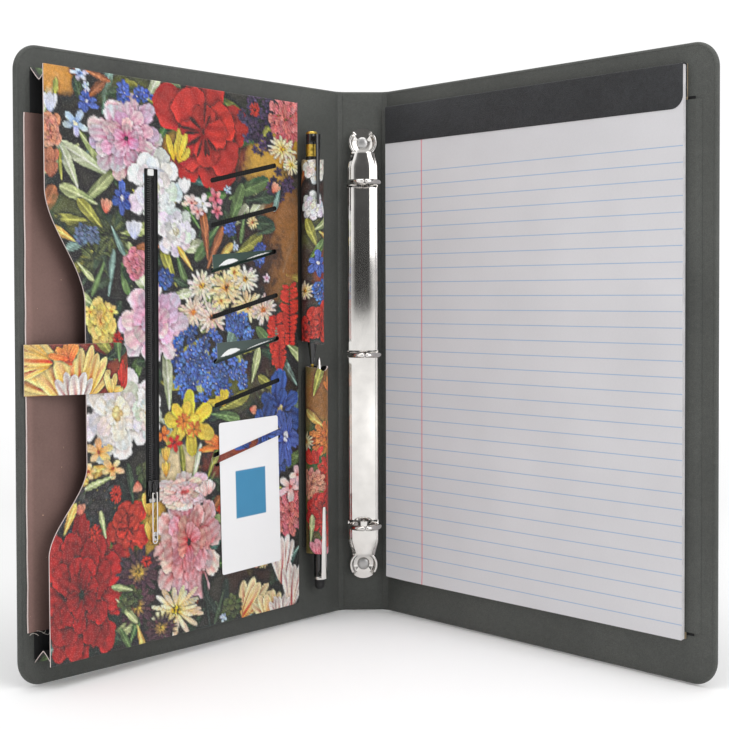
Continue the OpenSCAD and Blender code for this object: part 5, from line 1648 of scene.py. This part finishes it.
def pens():
    s, n = UPEN_S, LOOP_N
    r = 3.6
    f = lambda prof: prof
    o = lathe("pen_barrel_lacquer", [(0.6, 159.9), (1.12, 160), (1.5, 163), (2.2, 168), (3.0, 174), (3.42, 177), (3.58, 179), (3.6, 182), (3.6, 284.5), (3.55, 286.6), (3.42, 287.7), (0.6, 287.7)], s, n, LEFT, (M_PENBLACK,), seg=48)
    put(o, "upper_pen", ("pen_barrel",))
    a = lathe("a", [(0.5, 287.72), (3.5, 287.74), (3.64, 288.1), (3.64, 289.0), (3.52, 289.2), (3.52, 289.5), (3.64, 289.7), (3.64, 293.2), (3.52, 293.4), (3.52, 293.7), (3.64, 293.9), (3.64, 294.8), (3.5, 295.18), (0.5, 295.2)], s, n, LEFT, (M_GOLD,), seg=48)
    b = lathe("b", [(0.5, 301.5), (3.45, 301.52), (3.6, 301.8), (3.5, 302.4), (3.1, 302.95), (0.5, 303.0)], s, n, LEFT, (M_GOLD,), seg=48)
    put(join("pen_gold_bands", [a, b]), "upper_pen", ("pen_gold_trim",))
    put(lathe("pen_cap_lacquer", [(0.5, 295.2), (3.42, 295.22), (3.5, 295.6), (3.5, 301.0), (3.4, 301.48), (0.5, 301.5)], s, n, LEFT, (M_PENBLACK,), seg=48), "upper_pen", ("pen_cap",))
    put(lathe("pen_writing_tip", [(0.15, 156.5), (0.4, 156.55), (0.55, 157.5), (0.95, 159.2), (1.08, 159.95), (0.3, 160.0)], s, n, LEFT, (M_GOLD,), seg=24), "upper_pen", ("pen_tip",))
    clip("pen_clip_black", s, 258.2, 300.8, 296.6, 3.4, 16, M_CLIPBLACK, "upper_pen", "pen_clip", taper=0.5)
    s = LPEN_S
    put(lathe("stylus_barrel_lacquer", [(0.5, 27.5), (3.45, 27.52), (3.6, 27.9), (3.6, 80.0), (3.52, 80.2), (3.52, 80.6), (3.6, 80.8), (3.6, 139.5), (3.5, 139.98), (0.5, 140.0)], s, n, LEFT, (M_PENBLACK,), seg=48), "lower_pen", ("stylus_barrel",))
    put(lathe("stylus_chrome_nose", [(0.5, 140.0), (3.45, 140.02), (3.6, 140.4), (3.5, 141.2), (3.3, 143.5), (2.6, 151), (1.75, 157.5), (1.36, 160.2), (1.2, 161.2), (0.75, 163.2), (0.3, 163.7), (0.1, 163.7)], s, n, LEFT, (M_CHROME,), seg=48), "lower_pen", ("stylus_nose",))
    put(lathe("stylus_chrome_ring", [(0.5, 25.62), (3.55, 25.64), (3.76, 25.95), (3.78, 26.55), (3.76, 27.15), (3.6, 27.48), (0.5, 27.49)], s, n, LEFT, (M_CHROME,), seg=48), "lower_pen", ("stylus_ring",))
    dome = [(0.5, 25.58), (3.1, 25.56), (3.2, 25.2), (3.2, 22.6)]
    for i in range(1, 10):
        t = math.pi / 2 * i / 9
        dome.append((max(0.06, 3.2 * math.cos(t)), 22.3 - 3.2 * math.sin(t)))
    put(lathe("stylus_rubber_tip", dome, s, n, LEFT, (M_RUBBER,), seg=40), "lower_pen", ("stylus_tip",))
    clip("stylus_chrome_clip", s, 27.2, 71.8, 27.9, 3.8, 24, M_CHROME, "lower_pen", "stylus_clip", taper=0.55)


pens()


# ---------------------------------------------------------------- folder behind the pocket
def insert():
    r = np.random.default_rng(9)
    zz = np.linspace(28.5, 296.5, 90)
    k = np.convolve(r.random(96) - 0.5, np.ones(5) / 5, "valid")[:90]
    left = [(233.0 + 0.55 * a, z) for a, z in zip(k, zz)]
    pts = [(75.0, 28.5)] + [(s, 28.5 + 0.15 * math.sin(s / 7.0)) for s in np.linspace(95, 228, 12)] + [(left[1][0] - 0.1, 28.6)] + left[2:-1] + [(left[-2][0] - 0.2, 296.5)] + [(s, 296.5) for s in np.linspace(226, 95, 10)] + [(75.0, 296.5)]
    front = plate("brown_folder_front", np.array(pts), 0.78, 0.99, 0.08, LEFT, (M_INSERT,), sharp=50)
    pts2 = [(a + (0.7 if a > 200 else 0), b) for a, b in pts]
    back = plate("folder_raw_edge", np.array(pts2), 0.52, 0.77, 0.12, LEFT, (M_RAW,), sharp=50)
    put(front, "left_cover", ("document_sheet",))
    put(back, "left_cover", ())
    th = []
    for i, (s0, z0) in enumerate(((232.5, 27.4), (228.0, 28.2), (224.5, 27.0))):
        q = np.linspace(0, 1, 18)
        path = np.stack([s0 - 5.5 * q + 0.5 * np.sin(q * 7 + i), 1.25 + 0.5 * np.sin(q * 3.1), z0 + 0.9 * np.sin(q * 5 + i * 1.3)], 1)
        th.append(tube("t", path, 0.13, LEFT, (M_THREAD,), seg=6))
    put(join("folder_threads", th), "left_cover", ())


insert()
back = plate("pocket_black_backing", rrect(46.0, 14.0, 183.4, 304.5, 1.0, 4), 0.02, 0.42, 0.1, LEFT, (M_BLACKCLOTH_AND_SHADE,))
put(back, "left_cover", ())


# ---------------------------------------------------------------- gussets
def gusset(name, zp, sgn, node):
    """Pleated strip from the cover to the panel: floral outside, black inside."""
    s = np.linspace(43, 226, 180)
    q = np.linspace(0, 1, 25)
    S, Q = np.meshgrid(s, q, indexing="xy")
    far = panel_n(S) - 0.35
    near = 0.55
    depth = (0.25 + 0.75 * (S - 43) / 183) * 6.2 * (1 + 0.05 * np.sin(S / 17.0))
    fold = 1 - np.abs(2 * Q - 1) ** 1.25
    n = near + (far - near) * Q
    # both leaves lean towards each other
    n = n + (0.18 * np.sin(Q * 2 * math.pi)) * (far - near) / 8
    z = zp + sgn * depth * fold + 0.12 * np.sin(S / 6.0) * fold
    S2 = S + 3.2 * (1 - Q) * (S - 43) / 183
    t = np.stack([S2, n, z], 2)
    b = np.stack([S2, n, z + sgn * 0.7], 2)
    o = shell(name, t, b, LEFT, (M_FLORAL, M_BLACKCLOTH_AND_SHADE, M_RAW), sharp=60)
    c = panel_art.sample(((S * 1.0 + 20) % 185).ravel(), (zp * 0 + 250 + 12 * Q + 0 * S).ravel())
    colour(o, np.concatenate([c, c]))
    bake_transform(o)
    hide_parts(node)


gusset("gusset_pleat_top", 320.1, -1, "gusset_top")
gusset("gusset_pleat_bottom", 12.4, 1, "gusset_bottom")


# ---------------------------------------------------------------- ring mechanism
def ring_half(side, k):
    c, wr, rn = 9.2, 1.6, 15.4
    zc = 165.0 + k * 107.95
    sg = -1 if side == "left" else 1
    pts = [(c * math.cos(math.radians(62)), n) for n in np.linspace(3.0, 6.9, 6)]
    for a in np.linspace(58, -89.0, 46):
        pts.append((c * math.cos(math.radians(a)), rn - c * math.sin(math.radians(a))))
    P = np.array([(sg * x, n, zc) for x, n in pts])
    P[5:8, 0] = np.convolve(P[4:9, 0], np.ones(3) / 3, "valid")
    P[5:8, 1] = np.convolve(P[4:9, 1], np.ones(3) / 3, "valid")
    rad = np.full(len(P), wr)
    rad[-1] = wr * 0.72; rad[-2] = wr * 0.97
    wire = tube("w", P, rad, SPINE, (M_CHROME,), seg=28, sharp=45)
    parts = [wire]
    if side == "right":       # tongue that sits in the other half's notch
        parts.append(tube("t", [(0.32, rn + c, zc), (0.1, rn + c, zc), (-0.10, rn + c, zc), (-0.34, rn + c, zc)], [0.78, 0.74, 0.66, 0.4], SPINE, (M_STEEL,), seg=12))
    nm = {-1: "low", 0: "mid", 1: "top"}[k]
    o = join("ring_%s_%s" % (side, nm), parts) if len(parts) > 1 else wire
    o.name = "ring_%s_%s" % (side, nm)
    return put(o, "ring_" + side, ("half_ring_%s_%s" % (side, nm),))


for side in ("left", "right"):
    for k in (-1, 0, 1):
        ring_half(side, k)


def housing():
    """Pressed, plated arch with a cupped boss at each end."""
    zmid, rp = 164.75, 268.5
    prof = []
    R0, cy = 10.36, -2.86     # circle of the arch in (x, n): centre at n = -2.86
    a0 = math.asin(9.8 / R0)
    # broad crown, rounded shoulders and short upright sides
    RC, xs = 23.0, 8.5
    ps = math.asin(xs / RC)
    crown = [(RC * math.sin(t), 7.5 - RC + RC * math.cos(t)) for t in np.linspace(-ps, ps, 33)]
    cx, cn, cr = 9.78 - 1.35, crown[-1][1] - 1.32, 1.35
    side_ = [(cx + cr * math.sin(t), cn + cr * math.cos(t)) for t in np.linspace(ps * 1.0 + 0.12, math.pi / 2, 9)]
    side_ += [(9.78, n_) for n_ in np.linspace(cn - 0.6, 0.9, 4)]
    prof = [(0, 0)] + [(-x, n_) for x, n_ in side_[::-1]] + crown + side_ + [(0, 0)]
    # rolled feet
    outer = [(-9.55, 0.36), (-9.78, 0.52)] + prof[1:-1] + [(9.78, 0.52), (9.55, 0.36), (9.1, 0.34), (8.85, 0.6)]
    inner = [(8.85, 1.0), (8.85, cn - 0.2), (8.6, cn + 0.25), (8.1, cn + 0.55)] + [(x * 0.9, n_ - 0.95) for x, n_ in crown[::-2]] + [(-8.1, cn + 0.55), (-8.6, cn + 0.25), (-8.85, cn - 0.2), (-8.85, 1.0)]
    ring2 = outer + inner + [(-8.85, 0.6), (-9.1, 0.34)]
    zs = np.concatenate([[36.5, 36.75, 37.1], np.concatenate([np.linspace(38, 47, 12), np.linspace(50, 280, 40), np.linspace(283, 292, 12)]), [292.9, 293.25, 293.5]])
    rings = []
    for z in zs:
        e = min(z - 36.5, 293.5 - z)
        k = 1 - 0.035 * (1 - smooth01(e / 0.6))
        kx = k * (1 - 0.22 * (1 - smooth01(e / 10.0)))
        rings.append([(x * kx, 0.3 + (n - 0.3) * k, z) for x, n in ring2])
    arch = loops("arch", rings, SPINE, (M_CHROME,), sharp=42)
    cuts = []
    for k in (-1, 0, 1):
        for sg in (-1, 1):
            zc = 165.0 + k * 107.95
            x0 = 2.0 if sg > 0 else -10.6
            r = rrect(x0, zc - 2.3, 8.6, 4.6, 1.4, 6)
            cuts.append(loops("c", [[(x, n, z) for x, z in r] for n in (0.95, 9.5)], SPINE, (M_STEEL,), sharp=0))
    cut = join("cutter2", cuts)
    for ob in (arch, cut):
        bm = bmesh.new()
        bm.from_mesh(ob.data)
        bmesh.ops.remove_doubles(bm, verts=bm.verts, dist=1e-7)
        bmesh.ops.recalc_face_normals(bm, faces=bm.faces)
        bm.to_mesh(ob.data)
        bm.free()
    md = arch.modifiers.new("cut", "BOOLEAN")
    md.operation, md.object, md.solver = "DIFFERENCE", cut, "EXACT"
    dg = bpy.context.evaluated_depsgraph_get()
    me = bpy.data.meshes.new_from_object(arch.evaluated_get(dg))
    arch.modifiers.clear(); arch.data = me
    bpy.data.objects.remove(cut)
    me.materials.clear(); me.materials.append(M_CHROME)
    me.polygons.foreach_set("material_index", np.zeros(len(me.polygons), np.int32))
    me.polygons.foreach_set("use_smooth", np.ones(len(me.polygons), bool))
    me.set_sharp_from_angle(angle=math.radians(38))
    parts = [arch]
    for sg in (-1, 1):
        zc = zmid + sg * rp / 2
        # cup: outer wall, rounded rim and a sunk floor, open towards the case's end
        prof = [(9.35, 0.05), (9.40, 1.0), (9.38, 4.6), (9.1, 5.7), (8.55, 6.18), (7.9, 6.2), (7.3, 6.0), (6.85, 5.3), (6.62, 4.2), (6.55, 1.7), (6.2, 1.42), (0.6, 1.40)]
        n_ = 72
        rows = []
        for r, n in prof:
            row = []
            for i in range(n_):
                t = 2 * math.pi * i / n_
                x, dz = r * math.cos(t), r * math.sin(t)
                # the wall drops away on the open side
                open_ = smooth01((sg * math.sin(t) - 0.55) / 0.25)
                nn = n if n <= 1.45 else n * (1 - open_) + 1.42 * open_
                row.append((x, nn, zc + dz))
            rows.append(row)
        cup = loops("cup", rows, SPINE, (M_CHROME,), sharp=40)
        parts.append(cup)
    o = join("ring_housing_plated", parts)
    put(o, "spine", ("ring_housing",))
    rv = []
    for sg in (-1, 1):
        zc = zmid + sg * rp / 2
        for name, prof in (("h", [(0.3, 2.62), (1.6, 2.58), (2.9, 2.3), (3.6, 1.95), (3.8, 1.6), (3.75, 1.42), (0.3, 1.41)]), ("b", [(0.3, -4.4), (3.6, -4.36), (4.3, -4.1), (4.5, -3.7), (4.5, -3.42), (0.3, -3.41)])):
            rows = [[(r * math.cos(t), n, zc + r * math.sin(t)) for t in np.linspace(0, 2 * math.pi, 36, endpoint=False)] for r, n in prof]
            rv.append(loops(name, rows, SPINE, (M_STEEL,), sharp=45))
    put(join("housing_rivet_heads", rv), "spine", ("housing_rivets",))
    for side, sg in (("left", -1), ("right", 1)):
        a0_ = 0.2 if sg > 0 else -6.6
        pl = plate("ring_blade_%s_plate" % side, rrect(a0_, 43.0, 6.4, 244, 1.0, 4), 2.02, 2.98, 0.18, SPINE, (M_STEEL,))
        put(pl, "ring_" + side, ("ring_blade_" + side,))


housing()

# ---------------------------------------------------------------- studio
def area(name, loc, target, sx, sy, power, col=(1, 1, 1)):
    l = bpy.data.lights.new(name, "AREA")
    l.shape, l.size, l.size_y, l.energy, l.color = "RECTANGLE", sx, sy, power, col
    o = link(bpy.data.objects.new(name, l))
    o.location = loc
    d = Vector(target) - Vector(loc)
    o.rotation_euler = d.to_track_quat("-Z", "Y").to_euler()
    return o


w = bpy.data.worlds.new("studio")
bpy.context.scene.world = w
w.use_nodes = True
wt = w.node_tree
bg = wt.nodes["Background"]
# a white room that is darker at eye level in front of the case
tc = wt.nodes.new("ShaderNodeTexCoord")
sp = wt.nodes.new("ShaderNodeSeparateXYZ")
wt.links.new(tc.outputs["Generated"], sp.inputs[0])


def wmath(op, a, b_=None):
    n_ = wt.nodes.new("ShaderNodeMath")
    n_.operation = op
    for i_, q_ in enumerate((a, b_)):
        if q_ is None:
            continue
        if isinstance(q_, (int, float)):
            n_.inputs[i_].default_value = q_
        else:
            wt.links.new(q_, n_.inputs[i_])
    return n_.outputs[0]


front = wmath("MAXIMUM", wmath("MULTIPLY", sp.outputs["Y"], -1.0), 0.0)
low = wmath("MAXIMUM", wmath("SUBTRACT", 1.0, wmath("MULTIPLY", wmath("ABSOLUTE", sp.outputs["Z"]), 1.9)), 0.0)
dark = wmath("MULTIPLY", wmath("MINIMUM", wmath("MAXIMUM", wmath("MULTIPLY", wmath("SUBTRACT", front, 0.80), 7.5), 0.0), 1.0), wmath("POWER", low, 0.5))
lightv = wmath("SUBTRACT", 0.74, wmath("MULTIPLY", dark, 0.69))
lp = wt.nodes.new("ShaderNodeLightPath")
mixw = wt.nodes.new("ShaderNodeMix")
mixw.data_type = "FLOAT"
wt.links.new(lp.outputs["Is Camera Ray"], mixw.inputs[0])
wt.links.new(lightv, mixw.inputs[2])
mixw.inputs[3].default_value = 1.05
wt.links.new(mixw.outputs[0], bg.inputs["Strength"])
bg.inputs["Color"].default_value = (1.0, 1.0, 1.0, 1.0)

area("key", (0.95, -1.25, 0.75), (-0.06, -0.06, 0.17), 0.8, 1.0, 6.5)
area("fill", (-0.9, -1.1, 0.7), (0.06, -0.06, 0.17), 0.7, 0.9, 1.2)
area("top", (0.0, -0.45, 1.9), (0.0, -0.3, 0.0), 1.8, 1.3, 15.0)

floor = bpy.data.meshes.new("floor")
floor.from_pydata([(-30, -12, 0), (30, -12, 0), (30, 60, 0), (-30, 60, 0)], [], [(0, 1, 2, 3)])
fm, fnt, fb = new_mat("studio_floor")
fv = coords(fnt, 1.0)
fnt.links.new(ramp(fnt, noise(fnt, fv, 1.5, 2.0), [(0.3, (0.93, 0.93, 0.93)), (0.7, (0.96, 0.96, 0.96))]), fb.inputs["Base Color"])
fb.inputs["Roughness"].default_value = 0.9
fb.inputs["Specular IOR Level"].default_value = 0.1
# the far floor glows a little, so that it runs into the white backdrop
fg = fnt.nodes.new("ShaderNodeNewGeometry")
fl_ = fnt.nodes.new("ShaderNodeVectorMath")
fl_.operation = "LENGTH"
fnt.links.new(fg.outputs["Position"], fl_.inputs[0])
fr_ = fnt.nodes.new("ShaderNodeMapRange")
fr_.inputs["From Min"].default_value = 0.55
fr_.inputs["From Max"].default_value = 2.2
fr_.inputs["To Min"].default_value = 0.0
fr_.inputs["To Max"].default_value = 0.42
fnt.links.new(fl_.outputs["Value"], fr_.inputs["Value"])
fb.inputs["Emission Color"].default_value = (1.0, 1.0, 1.0, 1.0)
fnt.links.new(fr_.outputs["Result"], fb.inputs["Emission Strength"])
floor.materials.append(fm)
fo = link(bpy.data.objects.new("floor", floor))
fo.location = (0, 0, -0.0006)

# ---------------------------------------------------------------- camera
F_PX, PPX, PPY = 1328.8875, 332.9132, 324.1464
YAW, PITCH, ROLL = math.radians(1.67308), math.radians(1.24258), math.radians(-0.17654)
cd = bpy.data.cameras.new("camera")
cam = link(bpy.data.objects.new("camera", cd))
fwd = Vector((math.sin(YAW) * math.cos(PITCH), math.cos(YAW) * math.cos(PITCH), -math.sin(PITCH)))
rt = Vector((math.cos(YAW), -math.sin(YAW), 0))
up = rt.cross(fwd)
r2 = math.cos(ROLL) * rt + math.sin(ROLL) * up
u2 = -math.sin(ROLL) * rt + math.cos(ROLL) * up
M4 = Matrix(((r2.x, u2.x, -fwd.x, -0.0438593), (r2.y, u2.y, -fwd.y, -0.8485933), (r2.z, u2.z, -fwd.z, 0.2023491), (0, 0, 0, 1)))
cam.matrix_world = M4
cd.sensor_fit = "HORIZONTAL"
cd.sensor_width = 36.0
cd.lens = F_PX * 36.0 / 729.0
cd.shift_x = (364.5 - PPX) / 729.0
cd.shift_y = (PPY - 364.5) / 729.0
cd.clip_start, cd.clip_end = 0.02, 200.0
bpy.context.scene.camera = cam
bpy.context.scene.view_settings.view_transform = "Standard"
bpy.context.scene.view_settings.look = "None"

bpy.context.view_layer.update()
